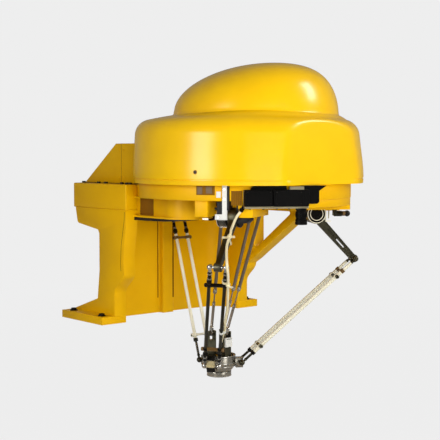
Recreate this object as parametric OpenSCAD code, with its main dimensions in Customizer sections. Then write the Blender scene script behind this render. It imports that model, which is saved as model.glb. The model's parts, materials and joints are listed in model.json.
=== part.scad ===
// Small ceiling-style delta robot on its cantilever stand.
// Millimetres, +Z up. The origin is the middle of the bolting plane under the
// stand: z = 0 is the underside of the feet, the robot hangs in front at -Y.

/* [Stand] */
// Depth of each foot, front to back
foot_d = 120; // [100:1:150]
// Thickness of the foot plates
foot_t = 12.4; // [8:0.1:16]
// Distance between the outer ends of the two feet
foot_span = 340; // [310:1:400]
// Diameter of the foot bolt holes
foot_hole_d = 11; // [8:0.5:13]
// Distance between the outer faces of the two side walls
wall_span = 290; // [270:1:300]
// Thickness of a side wall
wall_t = 23; // [16:1:30]
// Thickness of the back wall
back_t = 10; // [6:0.5:16]
// Height of the top of the head frame
head_top = 228; // [215:1:250]
// Height of the head frame's box section
head_h = 41; // [34:1:50]
// Horizontal distance from the bolting line to the robot's axis
reach = 238; // [225:1:260]

/* [Base and hood] */
// Radius of the round mounting flange of the base
flange_r = 168; // [160:1:172]
// Height of the underside of the flange
flange_z = 209; // [205:1:216]
// Height of the flat underside of the arm lobes
lobe_z = 187; // [182:1:192]
// Radius of the hood's rim
hood_r = 181; // [172:1:190]
// Height of the underside of the hood's rim
hood_z = 232; // [228:1:240]
// Height of the shoulder where the dome starts
shoulder_z = 334; // [310:1:350]
// Height of the top of the dome
dome_top = 416; // [400:1:450]
// Wall thickness of the hood
hood_wall = 3; // [2:0.5:5]

/* [Delta arms] */
// Radius from the robot's axis to the shoulder hinges
hinge_r = 96; // [90:1:102]
// Height of the shoulder hinges
hinge_z = 182.5; // [178:0.5:186]
// Length of an upper arm between its two axes
upper_len = 100; // [90:1:115]
// Length of a lower rod between its ball centres
rod_len = 253; // [235:1:290]
// Half the distance between the two rods of one arm
rod_half = 12.2; // [11:0.1:15]
// Diameter of the slender part of a rod
rod_d = 5.4; // [4.5:0.1:6]
// Diameter of the joint balls
ball_d = 6.4; // [6:0.1:8]
// Radial clearance of a ball in its running socket
ball_gap = 0.08; // [0.05:0.01:0.1]

/* [Platform and wrist] */
// Radius from the platform's centre to its ball pins
plat_r = 36; // [32:0.5:42]
// Radius of the platform's disc
disc_r = 27; // [22:0.5:29]
// Radius of the tool flange
tool_r = 20; // [16:0.5:24]
// Sideways place of the platform in the stored pose
park_x = -8; // [-20:1:10]
// Front-to-back place of the platform, measured from the robot's axis
park_y = 76; // [60:1:85]
// Height of the platform's ball centres
park_z = -65; // [-85:1:-60]

/* [Wrist drive shafts] */
// Radius of the circle of the three upper universal joints
shaft_top_r = 38; // [34:1:42]
// How far that circle lies behind the robot's axis
shaft_shift = 18; // [10:1:24]
// Height of the upper universal joints
shaft_top_z = 198; // [194:1:202]
// Radius of the circle of the three lower universal joints
shaft_low_r = 15; // [12:0.5:16]
// How far that circle lies in front of the platform's centre
shaft_low_shift = 2.4; // [0:0.1:3]
// Height of the lower universal joints above the platform's ball centres
shaft_low_h = 48; // [40:1:52]
// Diameter of the outer tube of a telescopic shaft
tube_d = 5.4; // [5.2:0.1:7]
// Length of the outer tube below its universal joint
tube_len = 150; // [135:1:165]

/* [Hidden] */
$fn = 48;
RIGHT = 0;
LEFT = 1;
REAR = 2;
arm_dir = [-30, 210, 90];
shaft_dir = [150, 30, 270];
eps = 0.01;
seat = 0.3;

// Half widths of the stand that the walls, frame and covers share
wall_out = wall_span / 2;
wall_in = wall_out - wall_t;
foot_y = foot_d / 2;

// ---------- vectors and the arm linkage ----------
function radial(a) = [cos(a), sin(a), 0];
function tangent(a) = [-sin(a), cos(a), 0];
platform_at = [park_x, park_y - reach, park_z];
axis_at = [0, -reach, 0];
function shoulder(i) = axis_at + hinge_r * radial(arm_dir[i]) + [0, 0, hinge_z];
function plat_pin(i) = platform_at + plat_r * radial(arm_dir[i]);
// Sideways offset of the platform pin from the arm's own plane
function side_run(i) = (plat_pin(i) - shoulder(i)) * tangent(arm_dir[i]);
function rod_splay(i) = asin(side_run(i) / rod_len);
function rod_inplane(i) = sqrt(pow(rod_len, 2) - pow(side_run(i), 2));
// Pitch of the line from shoulder to platform pin, and its length in the plane
function pin_x(i) = (plat_pin(i) - shoulder(i)) * radial(arm_dir[i]);
function pin_z(i) = (plat_pin(i) - shoulder(i)).z;
function pin_dist(i) = norm([pin_x(i), pin_z(i)]);
function arm_pitch(i) = atan2(-pin_z(i), pin_x(i)) - acos(
    (pow(upper_len, 2) + pow(pin_dist(i), 2) - pow(rod_inplane(i), 2)) / (2 * upper_len * pin_dist(i)));
function elbow(i) = shoulder(i) + upper_len *
    (cos(arm_pitch(i)) * radial(arm_dir[i]) - [0, 0, sin(arm_pitch(i))]);
function rod_pitch(i) = atan2(-(plat_pin(i) - elbow(i)).z, (plat_pin(i) - elbow(i)) * radial(arm_dir[i]));

// Local axes of arm i: x outwards, y along the hinge, z up
module at_shoulder(i) translate(shoulder(i)) rotate([0, 0, arm_dir[i]]) children();
module at_elbow(i) translate(elbow(i)) rotate([0, 0, arm_dir[i]]) rotate([0, rod_pitch(i), 0]) children();

module along_x(d, x0, x1) translate([x0, 0, 0]) rotate([0, 90, 0]) cylinder(d = d, h = x1 - x0);
module along_y(d, y0, y1) translate([0, y0, 0]) rotate([-90, 0, 0]) cylinder(d = d, h = y1 - y0);
module box_between(low, high) translate(low) cube(high - low);

// ---------- small helpers ----------
function ease(t) = (1 - cos(180 * t)) / 2;
// Smooth step from a to b in n + 1 points, as z runs from z0 to z1
function s_curve(a, b, z0, z1, n) = [for (k = [0:n]) [a + (b - a) * ease(k / n), z0 + (z1 - z0) * k / n]];
function arc(c, r, a0, a1, n) = [for (k = [0:n]) let (a = a0 + (a1 - a0) * k / n) c + r * [cos(a), sin(a)]];

// Closed skin through rings of equal length, each a list of points
module skin(rings) {
    n = len(rings[0]);
    last = len(rings) - 1;
    polyhedron(
        points = [for (ring = rings) each ring],
        faces = concat(
            [[for (j = [0:n - 1]) j]],
            [for (i = [0:last - 1], j = [0:n - 1]) each [
                [i * n + j, (i + 1) * n + j, (i + 1) * n + (j + 1) % n],
                [i * n + j, (i + 1) * n + (j + 1) % n, i * n + (j + 1) % n]]],
            [[for (j = [n - 1:-1:0]) last * n + j]]
        ),
        convexity = 4
    );
}

// ---------- stand ----------
hole_edge = 12;
hole_y = 42;

module foot(side) color("goldenrod") mirror([side < 0 ? 1 : 0, 0, 0]) difference() {
    box_between([wall_in, -foot_y, 0], [foot_span / 2, foot_y, foot_t]);
    for (y = [-hole_y, hole_y])
        translate([foot_span / 2 - hole_edge, y, -1]) cylinder(d = foot_hole_d, h = foot_t + 2);
}

// Side walls, drawn with y to the back and z up
head_z = head_top - head_h;
wall_front = -93;
waist_front = -85;
waist_z = 106;
shin_z = 50;
column_back = -17;
bracket_back = 54;
function wall_back_edge() = concat(
    [[bracket_back, head_z], [bracket_back - 5, 165]],
    arc([bracket_back - 11, 166], 6, -10, -80, 4),
    [[column_back + 4, 152], [column_back, 146], [column_back, 84], [column_back + 6, 37]],
    [[foot_y - 4, foot_t + 2], [foot_y - 2, foot_t]]
);
function wall_front_edge() = concat(
    [[-foot_y, foot_t]],
    s_curve(-foot_y, waist_front - 2, shin_z, 84, 8),
    s_curve(waist_front, wall_front, waist_z, 172, 6)
);

module wall_plate() translate([wall_in, 0, 0]) rotate([90, 0, 90]) linear_extrude(wall_t) children();

module left_wall() color("goldenrod") mirror([1, 0, 0]) wall_plate()
    polygon(concat(wall_back_edge(), wall_front_edge(), [[wall_front, head_z]]));

// The right wall carries a diagonal brace with a triangular window
brace_end = -reach + 4;
brace_sole = 20;
window_top = 180;
window_back = -104;
window_front = -191;
window_low = 119;
module right_wall() color("goldenrod") wall_plate() difference() {
    polygon(concat(
        wall_back_edge(),
        [[-foot_y, foot_t]],
        s_curve(-foot_y, waist_front, brace_sole + 28, 84, 6),
        [[-100, 93], [-120, 107], [-171, 142], [brace_end, head_z - 1], [brace_end, flange_z]],
        [[wall_front - seat, flange_z], [wall_front - seat, head_z]]
    ));
    polygon(concat(
        arc([window_back - 4, window_top - 4], 4, 0, 90, 4),
        arc([window_front, window_top - 3], 3, 90, 235, 5),
        arc([window_back - 5, window_low], 5, 235, 360, 5)
    ));
}

// Back wall with rounded inner corners and a middle rib
corner_r = 34;
rib_half = 12;
rib_d = 11;
module back_wall() color("goldenrod") linear_extrude(head_z)
    polygon(concat(
        [[-wall_in, back_t / 2]],
        arc([-wall_in + corner_r, -back_t / 2 - corner_r], corner_r, 180, 90, 8),
        arc([-rib_half - 4, -back_t / 2 - 4], 4, 90, 0, 3),
        arc([-rib_half + 3, -back_t / 2 - rib_d + 3], 3, 180, 270, 3),
        arc([rib_half - 3, -back_t / 2 - rib_d + 3], 3, 270, 360, 3),
        arc([rib_half + 4, -back_t / 2 - 4], 4, 180, 90, 3),
        arc([wall_in - corner_r, -back_t / 2 - corner_r], corner_r, 90, 0, 8),
        [[wall_in, back_t / 2]]
    ));

// Box frame on top of the walls: two side beams, a back beam and a front tie
tie_front = -66;
tie_d = 14;
tie_z = 206;
module head_frame() color("goldenrod") {
    difference() {
        box_between([-wall_out, wall_front, head_z], [wall_out, foot_y, head_top]);
        box_between([-wall_in, wall_front - 1, head_z - 1], [wall_in, foot_y - 12, head_top + 1]);
    }
    box_between([-wall_in - eps, tie_front, tie_z], [wall_in + eps, tie_front + tie_d, head_top]);
}

// ---------- base casting and hood ----------
// Centres of the round flange and the hood, behind the robot's axis
flange_back = 22;
hood_back = 14;
apron_half = 48;
apron_z = 198;
pad_out = 147;
cheek_in = 24;
cheek_t = 20;
cheek_len = 148;
arm_slot = 16;

apron_inset = 0.8;
apron_bore = 112;
side_z = 176;
// The front cheek of the right arm ends higher, above the end stop
function cheek_low(i, s) = i == RIGHT && s < 0 ? lobe_z + 3 : lobe_z - 2;

module about_flange(h, r) translate(axis_at + [0, flange_back, 0]) cylinder(r = r, h = h, $fn = 180);
// Flat pad for the camera, square to the right arm's hinge line
module pad_cut() at_pad() translate([-60, -pad_out - 80, 0]) cube([150, 80, hood_z + 1]);

// Room for the head frame's side beams, where they reach beside the flange
module frame_cut() for (s = [0, 1]) mirror([s, 0, 0])
    translate([wall_in - seat, wall_front - seat, side_z - 1]) cube([wall_t + 80, foot_d, hood_z - side_z + 2]);

// Round flange and the neck that butts against the head frame's front tie
module base_casting() color("gold") difference() {
    union() {
        translate([0, 0, flange_z]) about_flange(hood_z - flange_z, flange_r);
        box_between([-wall_in + seat, 60 - reach, flange_z], [wall_in - seat, tie_front, head_top]);
    }
    box_between([-wall_in, tie_front, flange_z - 1], [wall_in, tie_front + 60, hood_z + 1]);
    frame_cut();
    pad_cut();
}

// Front apron and the six cheeks that carry the gear housings
module arm_carrier() color("gold") difference() {
    intersection() {
        about_flange(flange_z, flange_r - apron_inset);
        union() {
            translate(axis_at + [0, flange_back, apron_z]) linear_extrude(flange_z - apron_z)
                polygon(concat([[0, 0]], arc([0, 0], 2 * flange_r, -90 - apron_half, -90 + apron_half, 2)));
            for (i = [RIGHT, LEFT, REAR], s = [-1, 1]) translate(axis_at) rotate([0, 0, arm_dir[i]])
                translate([66, s > 0 ? cheek_in : -cheek_in - cheek_t, cheek_low(i, s)])
                    cube([cheek_len - 66, cheek_t, flange_z - cheek_low(i, s)]);
        }
    }
    translate(axis_at + [0, 0, apron_z - 1]) cylinder(r = apron_bore, h = flange_z - apron_z + 2, $fn = 180);
    for (i = [RIGHT, LEFT, REAR]) at_shoulder(i)
        translate([-arm_slot - 10, -cheek_in, -30]) cube([120, 2 * cheek_in, flange_z - hinge_z + 31]);
    frame_cut();
    pad_cut();
}

// Rounded cover under the left side of the flange
module side_housing() color("goldenrod") difference() {
    translate(axis_at + [0, 0, side_z]) linear_extrude(flange_z - side_z)
        polygon(concat(
            arc([-88, 62], 42, 290, 170, 12),
            [[-128.5, reach + wall_front + 5], [-60, reach + wall_front + 5], [-52, 40]]
        ));
    translate([-wall_out - 80, wall_front - seat, side_z - 1]) cube([2 * wall_out, foot_d, hood_z - side_z]);
}

// Hood: round lower tier and a dome that leans forward, lofted from circles
hood_n = 72;
tier_r = 182;
tier_round = 26;
crease_r = 129;
crease_z = shoulder_z + 5;
dome_back = -4;
dome_lean = 41;
// Distance from the tier's centre to the flat panel on its front
front_flat = 165;
function hood_ring(z, r, back, flat = front_flat) = [for (j = [0:hood_n - 1])
    [r * cos(360 * j / hood_n), back + max(r * sin(360 * j / hood_n), -flat), z]];
function tier_back(z) = hood_back + 4.5 * (z - hood_z) / (shoulder_z - hood_z);
arc_r = tier_r - 4.5 - tier_round;
arc_z = shoulder_z - 3 - tier_round;
lip_r = 150;
lip_t = 3;
function tier_rings(w) = concat(
    [[w > 0 ? hood_z + lip_t : hood_z, hood_r - w], [hood_z + 6, tier_r - w], [hood_z + 36, tier_r - 1 - w]],
    [for (a = [0:15:75]) [arc_z + (tier_round - w) * sin(a), arc_r + (tier_round - w) * cos(a)]]
);
function dome_rings(w) = [for (a = [0, 9, 18, 27, 36, 45, 54, 63, 72, 78, 83, 87])
    let (r = (crease_r - w) * pow(cos(a), 0.89), h = (dome_top - crease_z - w) * sin(a))
    [crease_z + h, r, dome_back - dome_lean * pow(sin(a), 2.2)]];
module hood_form(w) skin(concat(
    w > 0 ? [hood_ring(hood_z - 1, lip_r, hood_back), hood_ring(hood_z + lip_t, lip_r, hood_back)] : [],
    [for (t = tier_rings(w)) hood_ring(t[0], t[1], tier_back(t[0]), front_flat - w)],
    [for (t = dome_rings(w)) hood_ring(t[0] - (t[0] == crease_z ? w : 0), t[1], t[2])]
));
module hood() color("gold") translate(axis_at) difference() {
    hood_form(0);
    hood_form(hood_wall);
}

// Sloping cover between the hood and the back of the stand
cover_half = wall_in - 2;
cover_back = 60;
cover_fold = -30;
cover_top = 294;
cover_front = -120;
module rear_cover() color("gold") difference() {
    translate([-cover_half, 0, 0]) rotate([90, 0, 90]) linear_extrude(2 * cover_half)
        polygon([
            [cover_back, head_top], [cover_back, head_top + 2], [cover_fold, cover_top],
            [cover_front, cover_top], [cover_front, head_top]
        ]);
    translate(axis_at + [0, hood_back, 0]) cylinder(r = tier_r + seat + 2, h = cover_top + 1, $fn = 360);
    translate(axis_at + [0, flange_back, 0]) cylinder(r = flange_r + seat, h = hood_z + 1, $fn = 360);
}

// ---------- gear housings ----------
gear_d = 31;
gear_face = cheek_in - seat;
hub_half = 6.7;
cap_face = 11;
axle_d = 10;
module gear_housing(i) color("dimgray") at_shoulder(i) {
    post_h = flange_z - hinge_z;
    along_y(gear_d, -gear_face, -hub_half - seat);
    along_y(gear_d, hub_half + seat, cap_face);
    along_y(axle_d, -gear_face, cap_face);
    box_between([-12, -gear_face, 0], [12, -hub_half - seat, post_h]);
    box_between([-12, hub_half + seat, 0], [12, cap_face, post_h]);
}

// ---------- upper arms ----------
arm_hub_d = 29;
arm_t = 8;
root_h = 13;
tip_h = 10;
tip_d = 13;
stud_d = 3;
// The arm has a pocket on each side and, further out, a slot right through
slot_h = 3;
pocket_at = [34, 50];
slot_at = [57, 77];
module upper_arm(i) color("silver") at_shoulder(i) rotate([0, arm_pitch(i), 0]) difference() {
    union() {
        along_y(arm_hub_d, -hub_half, hub_half);
        translate([0, arm_t / 2, 0]) rotate([90, 0, 0]) linear_extrude(arm_t)
            polygon([
                [0, -root_h / 2 - 2], [20, -root_h / 2], [upper_len, -tip_h / 2],
                [upper_len, tip_h / 2], [20, root_h / 2], [0, root_h / 2 + 2]
            ]);
        translate([upper_len, 0, 0]) along_y(tip_d, -arm_t / 2 - 1, arm_t / 2 + 1);
        translate([upper_len, 0, 0]) along_y(stud_d, -rod_half, rod_half);
        for (s = [-1, 1]) translate([upper_len, s * rod_half, 0]) sphere(d = ball_d);
    }
    along_y(axle_d + 0.1, -20, 20);
    box_between([slot_at[0], -arm_t, -slot_h / 2], [slot_at[1], arm_t, slot_h / 2]);
    for (y = [-arm_t, arm_t / 4])
        box_between([pocket_at[0], y, -slot_h / 2], [pocket_at[1], y + 3 * arm_t / 4, slot_h / 2]);
}

// Sockets grip past the middle of the ball. The lower sockets of the right and
// rear arms stay open by open_gap, because the linkage is a closed loop.
cup_wall = 1.3;
cup_lip = 2.1;
open_gap = [1, ball_gap, 2.2];
module socket(side, gap) difference() {
    sphere(d = ball_d + 2 * (gap + cup_wall));
    sphere(d = ball_d + 2 * gap);
    translate([-12, side > 0 ? -24 - cup_lip : cup_lip, -12]) cube(24);
}
neck_in = 0.2;
sleeve_d = 6.5;
sleeve_at = 14;
tie_at = 42;
tie_w = 6;
module at_rod(i, s) at_elbow(i) translate([0, s * rod_half, 0]) rotate([0, 0, rod_splay(i)]) children();
module rods(i) color("gainsboro") for (s = [-1, 1]) at_rod(i, s) {
    socket(s, ball_gap);
    translate([rod_len, 0, 0]) socket(s, open_gap[i]);
    along_x(rod_d, ball_d / 2 + ball_gap + neck_in, rod_len - ball_d / 2 - open_gap[i] - neck_in);
    along_x(sleeve_d, sleeve_at, tie_at - 4.5);
    along_x(sleeve_d, rod_len - tie_at + 4.5, rod_len - sleeve_at);
}

module rod_ties(i) color("dimgray") difference() {
    for (d = [tie_at, rod_len - tie_at]) at_elbow(i)
        translate(d * radial(rod_splay(i))) cube([tie_w, 2 * rod_half + 8.4, tie_w], center = true);
    for (s = [-1, 1]) at_rod(i, s) along_x(rod_d + 0.2, 20, rod_len - 20);
}

// ---------- platform, wrist, tool ----------
plat_top = 13;
plat_low = -5;
fork_w = 14;
fork_slot = 8.6;
pin_d = 3;
pin_half = 6.8;
recess_d = 4;
rim_t = 3;
lug_half = 6.5;
lug_low = -9;
lug_top = 7;
lug_hole_d = 3;
// Disc with a recessed top and, for each arm, a lug with two ball pins
module platform() color("dimgray") translate(platform_at) difference() {
    union() {
        translate([0, 0, plat_low]) cylinder(r = disc_r, h = plat_top - plat_low);
        for (a = arm_dir) rotate([0, 0, a]) {
            box_between([disc_r - 8, -lug_half, plat_low + 1], [plat_r + 3, lug_half, lug_top]);
            box_between([disc_r + seat, -lug_half, lug_low], [plat_r + 3, lug_half, plat_low + 2]);
            translate([plat_r, 0, 0]) along_y(stud_d, -rod_half, rod_half);
            for (s = [-1, 1]) translate([plat_r, s * rod_half, 0]) sphere(d = ball_d);
        }
    }
    translate([0, 0, plat_top - recess_d]) cylinder(r = disc_r - rim_t, h = recess_d + 1);
    for (a = arm_dir) rotate([0, 0, a])
        translate([0, 0, lug_top - 4]) along_x(lug_hole_d, plat_r - 3, plat_r + 4);
}

// Three forks on the platform that hold the lower universal joints
fork_top = 5;
module at_shaft_low(k) translate(shaft_low(k)) rotate([0, 0, shaft_az(k)]) children();
module wrist_forks() color("gray") for (k = [0:2]) at_shaft_low(k) difference() {
    box_between([-5, -fork_w / 2, plat_top - recess_d - shaft_low_h], [5, fork_w / 2, fork_top]);
    box_between([-6, -fork_slot / 2, -10], [6, fork_slot / 2, fork_top + 1]);
    along_y(pin_d + 0.1, -10, 10);
}

cone_low = -13;
module wrist_housing() color("gray") translate(platform_at)
    translate([0, 0, cone_low]) cylinder(r1 = tool_r, r2 = disc_r - 1, h = plat_low - cone_low);

tool_h = 9;
module tool_flange() color("silver") translate(platform_at)
    translate([0, 0, cone_low - tool_h]) cylinder(r = tool_r, h = tool_h - seat);

// ---------- telescopic shafts ----------
function shaft_top(k) = axis_at + [0, shaft_shift, shaft_top_z] + shaft_top_r * radial(shaft_dir[k]);
function shaft_low(k) = platform_at + [0, -shaft_low_shift, shaft_low_h] + shaft_low_r * radial(shaft_dir[k]);
function shaft_run(k) = shaft_low(k) - shaft_top(k);
function shaft_len(k) = norm(shaft_run(k));
function shaft_az(k) = atan2(shaft_run(k).y, shaft_run(k).x);
function shaft_tilt(k) = atan2(norm([shaft_run(k).x, shaft_run(k).y]), -shaft_run(k).z);
// Local axes of shaft k: z points down the shaft, y is its tilt axis
module at_hanger(k) translate(shaft_top(k)) rotate([0, 0, shaft_az(k)]) children();
module at_shaft_top(k) at_hanger(k) rotate([0, 180 - shaft_tilt(k), 0]) children();

module shaft_hangers() color("dimgray") for (k = [0:2]) at_hanger(k) difference() {
    box_between([-4, -fork_w / 2, -5], [4, fork_w / 2, flange_z - shaft_top_z]);
    box_between([-5, -fork_slot / 2, -6], [5, fork_slot / 2, 6]);
    along_y(pin_d + 0.1, -10, 10);
}
knuckle_d = 8;
// The sliding fit stays open, because the shaft's ends swing by fixed ratios
spline_gap = 1.15;
tube_wall = 0.4;
spline_d = tube_d - 2 * (tube_wall + spline_gap);
tube_from = 20;
module shaft_tube(k) color("rosybrown") at_shaft_top(k) difference() {
    union() {
        cylinder(d = tube_d, h = tube_len);
        along_y(pin_d, -pin_half, pin_half);
        sphere(d = knuckle_d);
    }
    translate([0, 0, tube_from]) cylinder(d = tube_d - 2 * tube_wall, h = tube_len);
}
spline_from = 72;
// The lower end, which never enters the tube, is thicker
shank_d = 4.6;
shank_len = 55;
module shaft_rod(k) color("gray") at_shaft_top(k) {
    translate([0, 0, spline_from]) cylinder(d = spline_d, h = shaft_len(k) - spline_from);
    translate([0, 0, shaft_len(k) - shank_len]) cylinder(d = shank_d, h = shank_len);
    translate([0, 0, shaft_len(k)]) {
        along_y(pin_d, -pin_half, pin_half);
        sphere(d = knuckle_d);
    }
}

// ---------- vision camera on the front pad ----------
// Local axes: x along the right arm, -y out of the pad
module at_pad() translate(axis_at) rotate([0, 0, arm_dir[RIGHT]]) children();
cam_left = -48;
cam_mid = -6;
cam_right = 46;
cam_low = 202;
cam_top = 226;
cam_roof = hood_z - 0.5;
pad_gap = 0.3;
plate_t = 1.7;
cam_back = -pad_out - pad_gap - plate_t;
shelf_t = 3.2;
module camera_bracket() color("khaki") at_pad() {
    box_between([cam_left, cam_back, cam_low - shelf_t], [cam_right, cam_back + plate_t, cam_top - 2]);
    box_between([cam_left, cam_back - 12, cam_low - shelf_t], [cam_right, cam_back + eps, cam_low]);
}
// Upright body of depth t in front of the bracket, from its outline in x and z
module upright(t, outline) translate([0, cam_back, 0]) rotate([90, 0, 0]) linear_extrude(t) polygon(outline);

roof_left = -39.4;
roof_right = 14;
roof_r = 9;
module camera_controller() color("black") at_pad() {
    box_between([cam_left, cam_back - 11, cam_low], [cam_mid - 0.5, cam_back, cam_top]);
    upright(9, concat(
        [[roof_right, cam_top], [roof_right, cam_roof]],
        arc([roof_left + roof_r, cam_roof - roof_r], roof_r, 90, 180, 6),
        [[cam_mid - 0.5, cam_roof - roof_r], [cam_mid - 0.5, cam_top]]
    ));
}
// Camera with its connector cover, which reaches up beside the pad's right end
cover_left = 36;
cover_right = 63;
module camera_body() color("black") at_pad() {
    box_between([cam_mid, cam_back - 14, cam_low], [cam_right, cam_back, cam_top]);
    upright(7, [
        [cam_right - 1, cam_low + 3], [cover_right - 3, cam_low + 3], [cover_right, cam_low + 6],
        [cover_right, cam_top - 2], [cover_right + 11, cam_roof],
        [cover_left, cam_roof], [cover_left, cam_top - 1]
    ]);
}
lens_d = 17.5;
lens_len = 23.8;
module camera_lens() color("black") at_pad() translate([36, cam_back - 6, cam_low - shelf_t - lens_len])
    cylinder(d = lens_d, h = lens_len);

// ---------- air hose and its bracket at the left arm ----------
module at_left() translate(axis_at) rotate([0, 0, arm_dir[LEFT]]) children();
module valve_bracket() color("white") difference() {
    at_left() {
        box_between([150, 2.2, 182], [158, 9.2, hood_z - seat]);
        box_between([150, -8.8, 182], [158, 3.2, 190]);
    }
    translate(axis_at + [0, flange_back, 0]) cylinder(r = flange_r + seat, h = hood_z + 1, $fn = 360);
    at_left() box_between([140, -20, 180], [155, 20, flange_z - seat]);
}
// End stops under the cheeks of the left and right arms
stop_in = 18;
stop_end = 144;
stop_root = 128;
stop_tip = 142.4;
stop_y = -cheek_in - cheek_t / 2;
stop_z = 183.5;
stop_ball_d = 9.6;
module left_stop() color("black") at_left() translate([stop_end, 0, 0]) rotate([90, 0, -90]) linear_extrude(24)
    polygon([
        [-stop_in - 20, lobe_z - 2], [-stop_in - 20, lobe_z - 6.5], [-stop_in - 16, lobe_z - 10],
        [-stop_in, lobe_z - 11], [-stop_in, lobe_z - 2]
    ]);
module right_stop() color("black") at_pad() {
    box_between([stop_root - 8, stop_y - 6, stop_z - 3.5], [stop_root, stop_y + 6, cheek_low(RIGHT, -1)]);
    translate([0, stop_y, stop_z]) along_x(6.5, stop_root - 1, stop_tip);
    translate([stop_tip, stop_y, stop_z]) sphere(d = stop_ball_d);
}

hose_d = 4;
// Route of the hose: first in the left arm's level axes, then along the upper
// arm, then along its outer rod
hose_top_pts = [
    [151.2, 29.5, 196.4], [150.4, 24, 189.6], [149.5, 20.5, 184.9], [144.5, 14.3, 174.2], [138, 9, 166]
];
hose_mid_pts = [[40, 7.2, 11], [48, 6.5, 9.4], [64.5, 7, 9.6], [84, 11, 10], [98.5, 15.4, 10]];
hose_low_pts = [[-5.5, 3, 5.6], [6, 4.6, 6.2], [20, 5.5, 5.6], [32, 5.8, 4.8], [57, 6.6, 4.4], [74, 7.2, 4.2],
    [90, 7.2, 3.8], [107, 6.3, 2.8], [125, 5.1, 1.2], [138, 5, -0.8], [150, 4.7, -2.4], [165, 3.2, -4.4],
    [180, 1, -5.5], [196, 0, -5.5]];
function unit(v) = v / norm(v);
function dir_at(pts, k) = unit(pts[min(k + 1, len(pts) - 1)] - pts[max(k - 1, 0)]);
function ring_at(p, d, r, n) = let (a = unit(cross(d, [0, 1, 0.2])), b = cross(d, a))
    [for (j = [0:n - 1]) p + r * (a * cos(360 * j / n) + b * sin(360 * j / n))];
module hose(pts) color("cornsilk")
    skin([for (k = [0:len(pts) - 1]) ring_at(pts[k], dir_at(pts, k), hose_d / 2, 8)]);
module at_left_arm() at_shoulder(LEFT) rotate([0, arm_pitch(LEFT), 0]) children();

// Ties that hold the hose: one around the upper arm, two on the outer rod
module upper_hose_tie() color("khaki") at_left_arm() difference() {
    union() {
        box_between([46, -5.4, -7.4], [50, 5.4, 7.4]);
        translate([0, 6.5, 9.4]) along_x(hose_d + 3, 46, 50);
    }
    box_between([45, -arm_t / 2 - 0.1, -6.1], [51, arm_t / 2 + 0.1, 6.1]);
    translate([0, 6.5, 9.4]) along_x(hose_d + 0.7, 45, 51);
}
module lower_hose_ties() color("dimgray") at_rod(LEFT, 1) difference() {
    union() {
        along_x(sleeve_d + 3, 30, 34);
        translate([0, 5.8, 4.8]) along_x(hose_d + 3, 30, 34);
        along_x(rod_d + 3, 146, 150);
        translate([0, 4.8, -2.2]) along_x(hose_d + 3, 146, 150);
    }
    along_x(sleeve_d + 0.1, 29, 35);
    translate([0, 5.8, 4.8]) along_x(hose_d + 0.4, 29, 35);
    along_x(rod_d + 0.1, 145, 151);
    translate([0, 4.8, -2.2]) along_x(hose_d + 1, 145, 151);
}

foot(-1);  // left_foot
foot(1);  // right_foot
left_wall();
right_wall();
back_wall();
head_frame();
rear_cover();
base_casting();
arm_carrier();
side_housing();
hood();
gear_housing(RIGHT);  // right_gearbox
gear_housing(LEFT);  // left_gearbox
gear_housing(REAR);  // rear_gearbox
camera_bracket();
camera_controller();
camera_body();
camera_lens();
valve_bracket();
left_stop();
right_stop();
upper_arm(RIGHT);  // right_upper_arm
upper_arm(LEFT);  // left_upper_arm
upper_arm(REAR);  // rear_upper_arm
rods(RIGHT);  // right_rods
rods(LEFT);  // left_rods
rods(REAR);  // rear_rods
rod_ties(RIGHT);  // right_rod_ties
rod_ties(LEFT);  // left_rod_ties
rod_ties(REAR);  // rear_rod_ties
platform();
wrist_forks();
wrist_housing();
tool_flange();
shaft_hangers();
shaft_tube(0);  // left_shaft_tube
shaft_tube(1);  // right_shaft_tube
shaft_tube(2);  // front_shaft_tube
shaft_rod(0);  // left_shaft_rod
shaft_rod(1);  // right_shaft_rod
shaft_rod(2);  // front_shaft_rod
at_left() hose(hose_top_pts);  // hose_top
at_left_arm() hose(hose_mid_pts);  // hose_middle
at_rod(LEFT, 1) hose(hose_low_pts);  // hose_bottom
upper_hose_tie();
lower_hose_ties();
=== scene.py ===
"""Looks for a small delta robot that hangs from a cantilever stand.

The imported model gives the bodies, the nodes and their places, and the linkage
repeats its axes. Each sub-assembly is a class that rounds and paints its nodes
or stands in for them, adds the small pieces and rides each on its body. Lengths
are drawn in millimetres and leave in metres, +Z is up and -Y is the front.
"""
from __future__ import annotations

import json
import logging
import math
from dataclasses import dataclass
from enum import Enum
from typing import Callable, Iterable

import bmesh
import bpy
from mathutils import Matrix, Vector

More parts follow.
